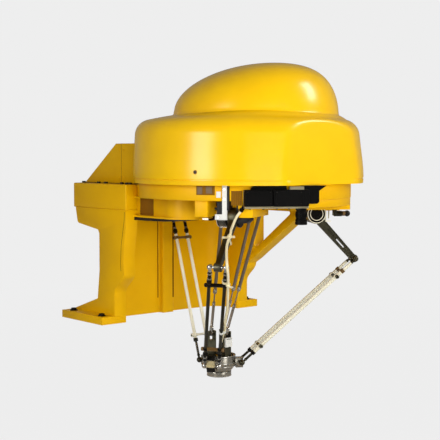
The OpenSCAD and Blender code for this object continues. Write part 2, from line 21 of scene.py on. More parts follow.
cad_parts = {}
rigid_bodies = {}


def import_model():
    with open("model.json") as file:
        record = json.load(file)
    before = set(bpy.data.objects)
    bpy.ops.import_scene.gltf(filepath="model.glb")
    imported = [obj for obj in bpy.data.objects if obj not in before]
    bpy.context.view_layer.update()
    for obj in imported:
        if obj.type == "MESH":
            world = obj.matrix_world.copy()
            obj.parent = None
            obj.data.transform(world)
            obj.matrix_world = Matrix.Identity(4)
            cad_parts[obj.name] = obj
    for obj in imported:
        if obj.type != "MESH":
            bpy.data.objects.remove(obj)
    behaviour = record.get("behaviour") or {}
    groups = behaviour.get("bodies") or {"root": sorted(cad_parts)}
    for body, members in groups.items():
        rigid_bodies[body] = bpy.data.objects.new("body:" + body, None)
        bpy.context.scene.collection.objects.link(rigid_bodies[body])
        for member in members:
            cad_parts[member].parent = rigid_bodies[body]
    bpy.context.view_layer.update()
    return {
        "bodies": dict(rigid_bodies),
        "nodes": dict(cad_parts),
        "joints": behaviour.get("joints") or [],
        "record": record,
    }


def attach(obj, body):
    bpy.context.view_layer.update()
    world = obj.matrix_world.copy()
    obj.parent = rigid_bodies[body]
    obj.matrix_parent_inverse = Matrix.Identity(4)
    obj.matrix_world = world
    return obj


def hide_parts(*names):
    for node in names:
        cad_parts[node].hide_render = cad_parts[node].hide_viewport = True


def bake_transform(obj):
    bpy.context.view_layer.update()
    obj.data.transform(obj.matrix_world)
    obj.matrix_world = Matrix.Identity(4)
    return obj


LOG = logging.getLogger("delta_robot")
MM = 0.001
# Corners of a node closer than this many metres are one corner
MERGE_M = 4e-6
# Faces of a node that meet flatter than this, in degrees, are one face
FLAT_ANGLE = 0.4
# Edges sharper than this are rounded, and those sharper than the next stay sharp
EDGE_ANGLE, SMOOTH_ANGLE = 38.0, 35.0
Point = tuple[float, float, float]
Flat = tuple[float, float]


# ---------------------------------------------------------------- materials

def hex_to_linear(code: str) -> tuple[float, float, float, float]:
    """Turn an sRGB hex colour into linear values.

    Args:
        code: Six hex digits.

    Returns:
        Linear red, green and blue, and an alpha of 1.
    """
    parts = [int(code[i:i + 2], 16) / 255 for i in (0, 2, 4)]
    linear = [c / 12.92 if c <= 0.04045 else ((c + 0.055) / 1.055) ** 2.4 for c in parts]
    return (*linear, 1.0)


def add_node(tree: bpy.types.NodeTree, kind: str, inputs: dict | None = None,
             **settings: object) -> bpy.types.Node:
    """Add a node, set it up and link it.

    Args:
        tree: The node tree that the node goes into.
        kind: The node type's own name.
        inputs: Values or output sockets, keyed by input name or number.
        settings: Properties of the node itself.

    Returns:
        The new node.
    """
    node = tree.nodes.new(kind)
    for name, value in settings.items():
        setattr(node, name, value)
    for key, value in (inputs or {}).items():
        if isinstance(value, bpy.types.NodeSocket):
            tree.links.new(value, node.inputs[key])
        else:
            node.inputs[key].default_value = value
    return node


def emptied(owner: bpy.types.Material | bpy.types.World) -> bpy.types.NodeTree:
    """Empty the node tree of a material or world.

    Args:
        owner: The material or world.

    Returns:
        Its node tree.
    """
    owner.use_nodes = True
    owner.node_tree.nodes.clear()
    return owner.node_tree


class Family(Enum):
    """How a surface was made, which decides whether it shines as bare metal."""

    COATED = "coated"
    METAL = "metal"
    MOULDED = "moulded"


@dataclass(frozen=True)
class Finish:
    """One finish: what the surface is and how it takes the light.

    The tone pattern is the slow change of colour over the surface, and the
    grain is the fine relief: orange peel on paint, brush marks on metal. The
    gloss is the strength of the clear reflection on what isn't bare metal.
    """

    name: str
    family: Family
    colour: str
    dark: str
    roughness: float
    spread: float = 0.06
    tone_mm: float = 60.0
    grain_mm: float = 1.2
    grain_depth_mm: float = 0.02
    stretch: Point = (1.0, 1.0, 1.0)
    gloss: float = 0.5

    def build(self) -> bpy.types.Material:
        """Build the material as nodes on Object coordinates.

        Returns:
            The new material.
        """
        material = bpy.data.materials.new(self.name)
        tree = emptied(material)
        place = add_node(tree, "ShaderNodeTexCoord").outputs["Object"]
        tone = add_node(tree, "ShaderNodeTexNoise", {
            "Vector": place, "Scale": 1 / (self.tone_mm * MM), "Detail": 4.0, "Roughness": 0.6})
        stretched = add_node(tree, "ShaderNodeMapping", {"Vector": place, "Scale": self.stretch})
        grain = add_node(tree, "ShaderNodeTexNoise", {
            "Vector": stretched.outputs[0], "Scale": 1 / (self.grain_mm * MM), "Detail": 3.0,
            "Roughness": 0.55})
        ramp = add_node(tree, "ShaderNodeValToRGB", {"Fac": tone.outputs["Fac"]})
        ramp.color_ramp.elements[0].position = 0.3
        ramp.color_ramp.elements[0].color = hex_to_linear(self.dark)
        ramp.color_ramp.elements[1].position = 0.7
        ramp.color_ramp.elements[1].color = hex_to_linear(self.colour)
        rough = add_node(tree, "ShaderNodeMapRange", {
            "Value": grain.outputs["Fac"], "To Min": self.roughness - self.spread,
            "To Max": self.roughness + self.spread})
        relief = add_node(tree, "ShaderNodeBump", {
            "Height": grain.outputs["Fac"], "Strength": 0.6, "Distance": self.grain_depth_mm * MM})
        shader = add_node(tree, "ShaderNodeBsdfPrincipled", {
            "Base Color": ramp.outputs["Color"], "Roughness": rough.outputs["Result"],
            "Normal": relief.outputs["Normal"], "Metallic": float(self.family is Family.METAL),
            "Specular IOR Level": self.gloss})
        add_node(tree, "ShaderNodeOutputMaterial", {"Surface": shader.outputs[0]})
        return material


class Finishes:
    """Every finish of the robot, each built once when it is first asked for."""

    # Satin stoving paint on sand-cast aluminium: soft highlight, faint orange peel
    CAST_PAINT = Finish("satin_paint_on_cast_aluminium", Family.COATED, "EAB402", "E3AB01", 0.42,
                        grain_mm=1.6, grain_depth_mm=0.02, gloss=0.14)
    # Gloss paint on a moulded hood: smooth, with a clear reflection
    HOOD_PAINT = Finish("gloss_paint_on_moulded_hood", Family.COATED, "F7C303", "F1BC02", 0.24,
                        spread=0.03, grain_mm=3.0, grain_depth_mm=0.005, gloss=0.32)
    # The same paint darkened to brown: painted shade in recesses, beside ribs and in grooves, and the dark
    # colour of the joints and washers themselves
    SHADE_AND_SEAM_PAINT = Finish("dusty_paint_in_a_seam", Family.COATED, "8A5E04", "744C02", 0.7,
                        grain_mm=1.0, gloss=0.2)
    # Hard anodised aluminium arms: dark olive grey with a metal sheen
    ARM_ALLOY = Finish("hard_anodised_aluminium", Family.METAL, "686450", "4E4B3B", 0.42,
                       grain_mm=1.2, grain_depth_mm=0.002)
    # Bright nickel plated tube of the rods, drawn as a coat and not as bare metal: its pale cream colour
    # is a painted sheen that stands in for the plating's broad soft reflection, with no mirror image
    ROD_PAINTED_SHEEN = Finish("satin_nickel_plated_tube", Family.COATED, "F0EBD2", "E6E0C6", 0.4, spread=0.02,
                       grain_mm=2.5, grain_depth_mm=0.0)
    # Blackened steel tube of the left arm's rods: olive black with a long highlight
    DARK_ROD = Finish("oil_blackened_steel_tube", Family.METAL, "4A483C", "35332A", 0.34,
                      grain_mm=1.5, grain_depth_mm=0.001)
    # Chemically blackened steel of gears and ties: dark, slightly oily
    BLACK_STEEL = Finish("blackened_steel", Family.METAL, "302D29", "211F1C", 0.4, grain_mm=1.2,
                         grain_depth_mm=0.002)
    # Polished steel of balls, caps and bands: pale, with small sharp highlights
    BALL_STEEL = Finish("polished_bearing_steel", Family.METAL, "CFCCC4", "C0BDB4", 0.14,
                        spread=0.03, grain_depth_mm=0.002)
    # Turned steel of the wrist: mid grey with turning marks and a bright band
    WRIST_STEEL = Finish("turned_steel", Family.METAL, "B4AFA2", "8F8A7E", 0.24, grain_mm=1.0,
                         grain_depth_mm=0.002, stretch=(1.0, 1.0, 6.0))
    # Drawn steel tube of the telescopic shafts, browned with oil
    SHAFT_STEEL = Finish("oiled_drawn_steel_tube", Family.METAL, "8A7F72", "74695C", 0.38,
                         grain_mm=1.5, grain_depth_mm=0.001)
    # Moulded nylon clips and nuts: plain brown with a soft sheen
    CLIP_BROWN = Finish("brown_moulded_nylon", Family.MOULDED, "6E5228", "5A421F", 0.5)
    # Yellow zinc plated bracket sheet: pale straw with a dull metal sheen
    ZINC_PLATE = Finish("yellow_zinc_plated_sheet", Family.METAL, "D8CBA4", "C4B588", 0.4,
                        grain_mm=1.5, grain_depth_mm=0.002)
    # Black anodised camera housings: near black, dull, only a faint highlight
    BLACK_ANODISED = Finish("black_anodised_aluminium", Family.COATED, "0C0B0A", "080807", 0.4,
                            grain_mm=1.0, grain_depth_mm=0.004, gloss=0.08)
    # Moulded nitrile rubber of stops and seals: black and matt
    RUBBER = Finish("moulded_nitrile_rubber", Family.MOULDED, "161514", "0F0E0E", 0.55, gloss=0.3)
    # White painted sheet of the bracket: even and slightly warm
    WHITE_SHEET = Finish("white_painted_sheet", Family.COATED, "E2E1DA", "D9D8D0", 0.4, gloss=0.3)
    # Extruded polyurethane air hose: creamy, slightly glossy
    HOSE_PLASTIC = Finish("extruded_polyurethane", Family.MOULDED, "EFE3BC", "E4D5A6", 0.33,
                          grain_mm=2.0, grain_depth_mm=0.005)
    # Coated optical glass of the lens: near black with one hard highlight
    LENS_GLASS = Finish("coated_optical_glass", Family.MOULDED, "16141F", "0C0B12", 0.05,
                        spread=0.01, grain_depth_mm=0.0, gloss=0.8)

    _made: dict[str, bpy.types.Material] = {}

    @classmethod
    def get(cls, finish: Finish) -> bpy.types.Material:
        """Return the finish's material, built once."""
        if finish.name not in cls._made:
            cls._made[finish.name] = finish.build()
        return cls._made[finish.name]


# ---------------------------------------------------------------- mesh helpers

def linked(name: str, data: bpy.types.ID) -> bpy.types.Object:
    """Make an object and put it in the scene.

    Args:
        name: Object name.
        data: Its mesh, lamp or camera.

    Returns:
        The new object.
    """
    made = bpy.data.objects.new(name, data)
    bpy.context.scene.collection.objects.link(made)
    return made


def new_piece(name: str, mesh: bpy.types.Mesh, finish: Finish, body: str,
              replaces: Iterable[str] = ()) -> bpy.types.Object:
    """Make a finished object from a mesh and ride it on its body.

    Args:
        name: Piece name.
        mesh: Mesh with its place in its vertices.
        finish: Its finish.
        body: The body that it rides on; empty leaves that to the caller.
        replaces: The nodes that it stands for.

    Returns:
        The new object.
    """
    mesh.materials.clear()
    mesh.materials.append(Finishes.get(finish))
    piece = linked(name, mesh)
    if body:
        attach(piece, body)
    if replaces:
        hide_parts(*replaces)
    LOG.info("%s rides on %s, %d faces", name, body or "two bodies", len(mesh.polygons))
    return piece


def applied(obj: bpy.types.Object, name: str) -> bpy.types.Mesh:
    """Take an object's evaluated mesh and remove the object.

    Args:
        obj: The object.
        name: Mesh name.

    Returns:
        The new mesh.
    """
    graph = bpy.context.evaluated_depsgraph_get()
    mesh = bpy.data.meshes.new_from_object(obj.evaluated_get(graph))
    mesh.name = name
    old = obj.data
    bpy.data.objects.remove(obj)
    bpy.data.meshes.remove(old)
    return mesh


def shade(mesh: bpy.types.Mesh, angle: float = SMOOTH_ANGLE) -> None:
    """Shade a mesh smooth, except across edges sharper than the angle in degrees."""
    mesh.polygons.foreach_set("use_smooth", [True] * len(mesh.polygons))
    mesh.set_sharp_from_angle(angle=math.radians(angle))


def softened(node: bpy.types.Object, radius: float) -> bpy.types.Mesh:
    """Copy a node's mesh, merge it and round its edges.

    Args:
        node: The node's object, which is left as it is.
        radius: Radius of the rounding in millimetres; zero keeps the edges sharp.

    Returns:
        The new mesh.
    """
    bm = bmesh.new()
    bm.from_mesh(node.data)
    bmesh.ops.remove_doubles(bm, verts=bm.verts, dist=MERGE_M)
    bmesh.ops.dissolve_limit(bm, angle_limit=math.radians(FLAT_ANGLE), verts=bm.verts, edges=bm.edges)
    mesh = bpy.data.meshes.new(node.name + "_soft")
    bm.to_mesh(mesh)
    bm.free()
    if radius > 0:
        obj = linked("work", mesh)
        bevel = obj.modifiers.new("round", "BEVEL")
        bevel.width = radius * MM
        bevel.segments = 2
        bevel.limit_method = "ANGLE"
        bevel.angle_limit = math.radians(EDGE_ANGLE)
        bevel.use_clamp_overlap = True
        mesh = applied(obj, node.name + "_soft")
    shade(mesh)
    return mesh


def shift(x: float = 0.0, y: float = 0.0, z: float = 0.0) -> Matrix:
    """Return the matrix of a shift in millimetres."""
    return Matrix.Translation((x, y, z))


def turn(axis: str, degrees: float) -> Matrix:
    """Return the matrix of a turn about X, Y or Z."""
    return Matrix.Rotation(math.radians(degrees), 4, axis)


# Puts a shape drawn round Z, such as a lathed one, round the X or the Y axis
ALONG_X = turn("Y", 90)
ALONG_Y = turn("X", -90)
WORLD = Matrix.Identity(4)
# Which way a spot aims and where its side points
UPWARD = ((0, 0, 1), (1, 0, 0))
SIDES = ((-1, "left"), (1, "right"))


def both_ways(place: Matrix) -> list[Matrix]:
    """Return the axes that look out along the local Y axis, to -Y and to +Y."""
    return [place @ turn("X", -90 * side) for side in (-1, 1)]


def facing(run: Vector) -> Matrix:
    """Return the turn that brings the Z axis along a direction."""
    return run.to_track_quat("Z", "Y").to_matrix().to_4x4()


class Solid:
    """A mesh drawn part by part in millimetres and handed over in metres."""

    merge: float = 0.0005
    slab_edge: float = 25.0

    def __init__(self) -> None:
        """Start with nothing drawn."""
        self.bm = bmesh.new()

    def skin(self, rings: list[list[Vector]], ends: bool = True) -> "Solid":
        """Join closed rings of equal length with faces.

        Args:
            rings: The rings, already in place.
            ends: The first and the last ring get a cap.

        Returns:
            The solid itself.
        """
        made = [[self.bm.verts.new(p) for p in ring] for ring in rings]
        count = len(made[0])
        for low, high in zip(made, made[1:]):
            for j in range(count):
                k = (j + 1) % count
                self.bm.faces.new((low[j], low[k], high[k], high[j]))
        if ends:
            self.bm.faces.new(list(reversed(made[0])))
            self.bm.faces.new(made[-1])
        return self

    def lathe(self, profile: Iterable[Flat], place: Matrix, steps: int = 32,
              closed: bool = False) -> "Solid":
        """Turn a profile round the local Z axis.

        Args:
            profile: Radius and height of each point, from one end to the other.
            place: Where the local axes lie.
            steps: Faces round the axis.
            closed: The profile is a closed loop, as for a ring.

        Returns:
            The solid itself.
        """
        profile = list(profile)
        turns = [2 * math.pi * j / steps for j in range(steps)]
        rings = [[place @ Vector((max(r, 0.01) * math.cos(a), max(r, 0.01) * math.sin(a), z)) for a in turns]
                 for r, z in (profile + profile[:1] if closed else profile)]
        return self.skin(rings, ends=not closed)

    def band(self, place: Matrix, inner: float, outer: float, low: float, high: float,
             steps: int = 24) -> "Solid":
        """Draw a ring with a square section, from low to high round the local Z axis."""
        corners = [(inner, low), (outer, low), (outer, high), (inner, high)]
        return self.lathe(corners, place, steps, closed=True)

    def slab(self, outline: list[Flat], low: float, high: float, place: Matrix,
             rounding: float = 0.0) -> "Solid":
        """Draw a plate of the outline in local X and Y, from low to high in Z.

        Args:
            outline: Corners, in order.
            low: Height of the underside.
            high: Height of the top.
            place: Where the local axes lie.
            rounding: Radius of the rounded edges.

        Returns:
            The solid itself.
        """
        part = bmesh.new()
        rings = [[part.verts.new((x, y, z)) for x, y in outline] for z in (low, high)]
        count = len(outline)
        part.faces.new(list(reversed(rings[0])))
        part.faces.new(rings[1])
        for j in range(count):
            k = (j + 1) % count
            part.faces.new((rings[0][j], rings[0][k], rings[1][k], rings[1][j]))
        if rounding > 0:
            sharp = [e for e in part.edges if e.calc_face_angle(0) > math.radians(self.slab_edge)]
            bmesh.ops.bevel(part, geom=sharp, offset=rounding, segments=2, profile=0.5,
                            affect="EDGES", clamp_overlap=True)
        part.transform(place)
        work = bpy.data.meshes.new("part")
        part.to_mesh(work)
        part.free()
        self.bm.from_mesh(work)
        bpy.data.meshes.remove(work)
        return self

    def block(self, low: Point, high: Point, place: Matrix = WORLD, rounding: float = 0.0) -> "Solid":
        """Draw a block between two corners, its edges rounded by a radius."""
        outline = [(low[0], low[1]), (high[0], low[1]), (high[0], high[1]), (low[0], high[1])]
        return self.slab(outline, low[2], high[2], place, rounding)

    def tube(self, path: list[Vector], radius: float, steps: int = 16) -> "Solid":
        """Sweep a round section along the points of a centre line.

        Args:
            path: The points.
            radius: Radius of the section.
            steps: Faces round the section.

        Returns:
            The solid itself.
        """
        side = Vector((0.3, 1.0, 0.2))
        rings = []
        for k, point in enumerate(path):
            ahead = (path[min(k + 1, len(path) - 1)] - path[max(k - 1, 0)]).normalized()
            side = (side - ahead * side.dot(ahead)).normalized()
            up = ahead.cross(side)
            rings.append([point + radius * (side * math.cos(2 * math.pi * j / steps)
                                            + up * math.sin(2 * math.pi * j / steps)) for j in range(steps)])
        return self.skin(rings)

    def mesh(self, name: str) -> bpy.types.Mesh:
        """Hand over the mesh in metres, merged, shaded and with its faces outwards.

        Args:
            name: Mesh name.

        Returns:
            The new mesh.
        """
        bmesh.ops.remove_doubles(self.bm, verts=self.bm.verts, dist=self.merge)
        bmesh.ops.recalc_face_normals(self.bm, faces=self.bm.faces)
        self.bm.transform(Matrix.Scale(MM, 4))
        made = bpy.data.meshes.new(name)
        self.bm.to_mesh(made)
        self.bm.free()
        shade(made)
        return made


def smooth_path(points: list[Vector], per_span: int) -> list[Vector]:
    """Run a smooth curve through points, as closely as asked.

    Args:
        points: The points that the curve passes.
        per_span: New points for each span.

    Returns:
        Points on the curve.
    """
    last = len(points) - 1
    ghost = [2 * points[0] - points[1]] + points + [2 * points[last] - points[last - 1]]
    path = []
    for k in range(last):
        a, b, c, d = ghost[k:k + 4]
        for n in range(per_span):
            t = n / per_span
            path.append(0.5 * ((2 * b) + (c - a) * t + (2 * a - 5 * b + 4 * c - d) * t * t
                               + (3 * b - a - 3 * c + d) * t ** 3))
    return path + [points[last]]


# ---------------------------------------------------------------- repeats

class Repeat(Enum):
    """What a tree repeats at its points."""

    SCREW = "cap screw"
    RING = "ring"
    TOOTH = "tooth"


class RepeatTree:
    """Geometry Nodes that put one shape at every point, turned to its aim."""

    sizes: tuple[str, ...] = ("Across", "Tall", "Wire")
    smooth: float = 40.0
    _made: dict[Repeat, bpy.types.NodeTree] = {}

    @classmethod
    def get(cls, kind: Repeat) -> bpy.types.NodeTree:
        """Return the tree of a kind, built once."""
        if kind not in cls._made:
            cls._made[kind] = cls._build(kind)
        return cls._made[kind]

    @classmethod
    def _build(cls, kind: Repeat) -> bpy.types.NodeTree:
        """Build the tree: shape, instances, Realize Instances and Set Material.

        Args:
            kind: What the tree repeats.

        Returns:
            The new tree.
        """
        tree = bpy.data.node_groups.new(f"repeat_{kind.name.lower()}", "GeometryNodeTree")
        face = tree.interface
        face.new_socket("Geometry", in_out="INPUT", socket_type="NodeSocketGeometry")
        for name in cls.sizes:
            face.new_socket(name, in_out="INPUT", socket_type="NodeSocketFloat")
        face.new_socket("Finish", in_out="INPUT", socket_type="NodeSocketMaterial")
        face.new_socket("Geometry", in_out="OUTPUT", socket_type="NodeSocketGeometry")
        given = add_node(tree, "NodeGroupInput").outputs
        shapes: dict[Repeat, Callable] = {
            Repeat.SCREW: cls._screw, Repeat.RING: cls._ring, Repeat.TOOTH: cls._tooth}
        shape = shapes[kind](tree, given)
        aim = add_node(tree, "GeometryNodeInputNamedAttribute", {"Name": "aim"}, data_type="FLOAT_VECTOR")
        side = add_node(tree, "GeometryNodeInputNamedAttribute", {"Name": "side"}, data_type="FLOAT_VECTOR")
        facing = add_node(tree, "FunctionNodeAxesToRotation", {0: aim.outputs[0], 1: side.outputs[0]},
                          primary_axis="Z", secondary_axis="X")
        placed = add_node(tree, "GeometryNodeInstanceOnPoints", {
            "Points": given["Geometry"], "Instance": shape, "Rotation": facing.outputs[0]})
        whole = add_node(tree, "GeometryNodeRealizeInstances", {0: placed.outputs[0]})
        painted = add_node(tree, "GeometryNodeSetMaterial", {
            "Geometry": whole.outputs[0], "Material": given["Finish"]})
        add_node(tree, "NodeGroupOutput", {0: painted.outputs[0]})
        return tree

    @staticmethod
    def _screw(tree: bpy.types.NodeTree, given: bpy.types.bpy_prop_collection) -> bpy.types.NodeSocket:
        """A cap screw's head with its socket, standing on the point.

        Args:
            tree: The tree that the nodes go into.
            given: The tree's inputs.

        Returns:
            The shape's socket.
        """
        head = add_node(tree, "GeometryNodeMeshCylinder", {
            "Vertices": 18, "Radius": given["Across"], "Depth": given["Tall"]})
        inner = add_node(tree, "GeometryNodeExtrudeMesh", {
            "Mesh": head.outputs["Mesh"], "Selection": head.outputs["Top"], "Offset Scale": 0.0},
            mode="FACES")
        narrowed = add_node(tree, "GeometryNodeScaleElements", {
            "Geometry": inner.outputs["Mesh"], "Selection": inner.outputs["Top"], "Scale": 0.55})
        depth = add_node(tree, "ShaderNodeMath", {0: given["Tall"], 1: -0.6}, operation="MULTIPLY")
        socket = add_node(tree, "GeometryNodeExtrudeMesh", {
            "Mesh": narrowed.outputs[0], "Selection": inner.outputs["Top"],
            "Offset Scale": depth.outputs[0]}, mode="FACES")
        half = add_node(tree, "ShaderNodeMath", {0: given["Tall"], 1: 0.5}, operation="MULTIPLY")
        lift = add_node(tree, "ShaderNodeCombineXYZ", {"Z": half.outputs[0]})
        return add_node(tree, "GeometryNodeTransform", {
            "Geometry": socket.outputs["Mesh"], "Translation": lift.outputs[0]}).outputs[0]

    @staticmethod
    def _ring(tree: bpy.types.NodeTree, given: bpy.types.bpy_prop_collection) -> bpy.types.NodeSocket:
        """A round bead of wire bent into a ring about the point.

        Args:
            tree: The tree that the nodes go into.
            given: The tree's inputs.

        Returns:
            The shape's socket.
        """
        line, bead = (
            add_node(tree, "GeometryNodeCurvePrimitiveCircle", {"Resolution": steps, "Radius": size})
            for steps, size in ((28, given["Across"]), (8, given["Wire"])))
        return add_node(tree, "GeometryNodeCurveToMesh", {
            "Curve": line.outputs[0], "Profile Curve": bead.outputs[0], "Fill Caps": False}).outputs[0]

    @staticmethod
    def _tooth(tree: bpy.types.NodeTree, given: bpy.types.bpy_prop_collection) -> bpy.types.NodeSocket:
        """A small rib that lies along its side and narrows outwards.

        Args:
            tree: The tree that the nodes go into.
            given: The tree's inputs.

        Returns:
            The shape's socket.
        """
        size = add_node(tree, "ShaderNodeCombineXYZ", {
            "X": given["Wire"], "Y": given["Across"], "Z": given["Tall"]})
        rib = add_node(tree, "GeometryNodeMeshCube", {"Size": size.outputs[0]})
        place = add_node(tree, "GeometryNodeInputPosition")
        axes = add_node(tree, "ShaderNodeSeparateXYZ", {0: place.outputs[0]})
        top = add_node(tree, "FunctionNodeCompare", {0: axes.outputs["Z"], 1: 0.0}, operation="GREATER_THAN")
        return add_node(tree, "GeometryNodeScaleElements", {
            "Geometry": rib.outputs[0], "Selection": top.outputs[0], "Scale": 0.75}).outputs[0]


@dataclass(frozen=True)
class Spot:
    """One place of a repeated shape: where it sits and which way it points."""

    at: Vector
    aim: Vector
    side: Vector


def spot(place: Matrix, at: Point, aim: Point, side: Point = (0.0, 0.0, 1.0)) -> Spot:
    """Return one spot whose place and directions are local."""
    turned = place.to_3x3()
    return Spot(place @ Vector(at), turned @ Vector(aim), turned @ Vector(side))


def spots_round(place: Matrix, radius: float, count: int, height: float = 0.0, first: float = 0.0,
                outward: bool = False) -> list[Spot]:
    """Return spots evenly round the local Z axis.

    Args:
        place: Where the local axes lie.
        radius: Radius of the circle.
        count: How many.
        height: Local height of the circle.
        first: Angle of the first, in degrees.
        outward: The spots aim away from the axis and not along it.

    Returns:
        The spots.
    """
    spots, up = [], (0.0, 0.0, 1.0)
    for k in range(count):
        angle = math.radians(first + 360 * k / count)
        out = (math.cos(angle), math.sin(angle), 0.0)
        at = (radius * out[0], radius * out[1], height)
        spots.append(spot(place, at, out, up) if outward else spot(place, at, up, out))
    return spots


# ---------------------------------------------------------------- the linkage

RIGHT, LEFT, REAR = 0, 1, 2
ARM_NAMES = ("right", "left", "rear")
SHAFT_NAMES = ("left", "right", "front")


@dataclass(frozen=True)
class Linkage:
    """The robot's axes in its stored pose, in millimetres, as the model has them."""

    reach: float = 238.0
    hinge_r: float = 96.0
    hinge_z: float = 182.5
    upper_len: float = 100.0
    rod_len: float = 253.0
    rod_half: float = 12.2
    plat_r: float = 36.0
    park: Point = (-8.0, 76.0, -65.0)
    shaft_top_r: float = 38.0
    shaft_shift: float = 18.0
    shaft_top_z: float = 198.0
    shaft_low_r: float = 15.0
    shaft_low_shift: float = 2.4
    shaft_low_h: float = 48.0
    arm_dir: Point = (-30.0, 210.0, 90.0)
    shaft_dir: Point = (150.0, 30.0, 270.0)

    def axis(self) -> Vector:
        """Return the foot of the robot's axis."""
        return Vector((0.0, -self.reach, 0.0))

    @staticmethod
    def radial(degrees: float) -> Vector:
        """Return the level unit vector of a direction."""
        return Vector((math.cos(math.radians(degrees)), math.sin(math.radians(degrees)), 0.0))

    def platform(self) -> Vector:
        """Return the middle of the platform's ball centres."""
        return Vector((self.park[0], self.park[1] - self.reach, self.park[2]))

    def shoulder(self, arm: int) -> Vector:
        """Return the middle of an arm's shoulder hinge."""
        return self.axis() + self.hinge_r * self.radial(self.arm_dir[arm]) + Vector((0, 0, self.hinge_z))

    def _reach_of(self, arm: int) -> tuple[float, float, float]:
        """Return how far an arm's platform pin lies outwards, up and sideways of its shoulder."""
        run = self.platform() + self.plat_r * self.radial(self.arm_dir[arm]) - self.shoulder(arm)
        return (run.dot(self.radial(self.arm_dir[arm])), run.z,
                run.dot(self.radial(self.arm_dir[arm] + 90)))

    def splay(self, arm: int) -> float:
        """Return the rods' sideways angle in degrees."""
        return math.degrees(math.asin(self._reach_of(arm)[2] / self.rod_len))

    def arm_pitch(self, arm: int) -> float:
        """Work out how far an upper arm points down.

        Args:
            arm: Which arm.

        Returns:
            The angle in degrees.
        """
        out, up, side = self._reach_of(arm)
        dist = math.hypot(out, up)
        rod = math.sqrt(self.rod_len ** 2 - side ** 2)
        lean = math.acos((self.upper_len ** 2 + dist ** 2 - rod ** 2) / (2 * self.upper_len * dist))
        return math.degrees(math.atan2(-up, out) - lean)

    def level(self, arm: int) -> Matrix:
        """Return the level axes at the robot's axis: x along the arm, z up."""
        return Matrix.Translation(self.axis()) @ turn("Z", self.arm_dir[arm])

    def at_shoulder(self, arm: int) -> Matrix:
        """Return the level axes at an arm's hinge."""
        return Matrix.Translation(self.shoulder(arm)) @ turn("Z", self.arm_dir[arm])

    def at_upper(self, arm: int) -> Matrix:
        """Return the axes of an upper arm: x along it, y along the hinge."""
        return self.at_shoulder(arm) @ turn("Y", self.arm_pitch(arm))

    def at_elbow(self, arm: int) -> Matrix:
        """Find the axes at an elbow: x down the middle between the rods.

        Args:
            arm: Which arm.

        Returns:
            The axes.
        """
        elbow = (self.at_upper(arm) @ shift(self.upper_len)).translation
        pin = self.platform() + self.plat_r * self.radial(self.arm_dir[arm])
        run = pin - elbow
        pitch = math.degrees(math.atan2(-run.z, run.dot(self.radial(self.arm_dir[arm]))))
        return Matrix.Translation(elbow) @ turn("Z", self.arm_dir[arm]) @ turn("Y", pitch)

    def at_rod(self, arm: int, side: int) -> Matrix:
        """Return the axes of one rod: x down the rod from its upper ball."""
        return self.at_elbow(arm) @ shift(y=side * self.rod_half) @ turn("Z", self.splay(arm))

    def shaft_ends(self, shaft: int) -> tuple[Vector, Vector]:
        """Find the centres of a shaft's universal joints.

        Args:
            shaft: Which shaft.

        Returns:
            The upper and the lower centre.
        """
        out = self.radial(self.shaft_dir[shaft])
        top = self.axis() + Vector((0, self.shaft_shift, self.shaft_top_z)) + self.shaft_top_r * out
        low = self.platform() + Vector((0, -self.shaft_low_shift, self.shaft_low_h))
        return top, low + self.shaft_low_r * out

    def shaft_azimuth(self, shaft: int) -> float:
        """Return the level direction in which a shaft leans, in degrees."""
        top, low = self.shaft_ends(shaft)
        return math.degrees(math.atan2(low.y - top.y, low.x - top.x))

    def at_shaft(self, shaft: int) -> Matrix:
        """Find the axes of a shaft: z down it from the upper joint, y its tilt axis.

        Args:
            shaft: Which shaft.

        Returns:
            The axes.
        """
        top, low = self.shaft_ends(shaft)
        run = low - top
        tilt = math.degrees(math.atan2(math.hypot(run.x, run.y), -run.z))
        return Matrix.Translation(top) @ turn("Z", self.shaft_azimuth(shaft)) @ turn("Y", 180 - tilt)

    def at_shaft_low(self, shaft: int) -> Matrix:
        """Return the level axes at a shaft's lower joint."""
        return Matrix.Translation(self.shaft_ends(shaft)[1]) @ turn("Z", self.shaft_azimuth(shaft))


LINKS = Linkage()


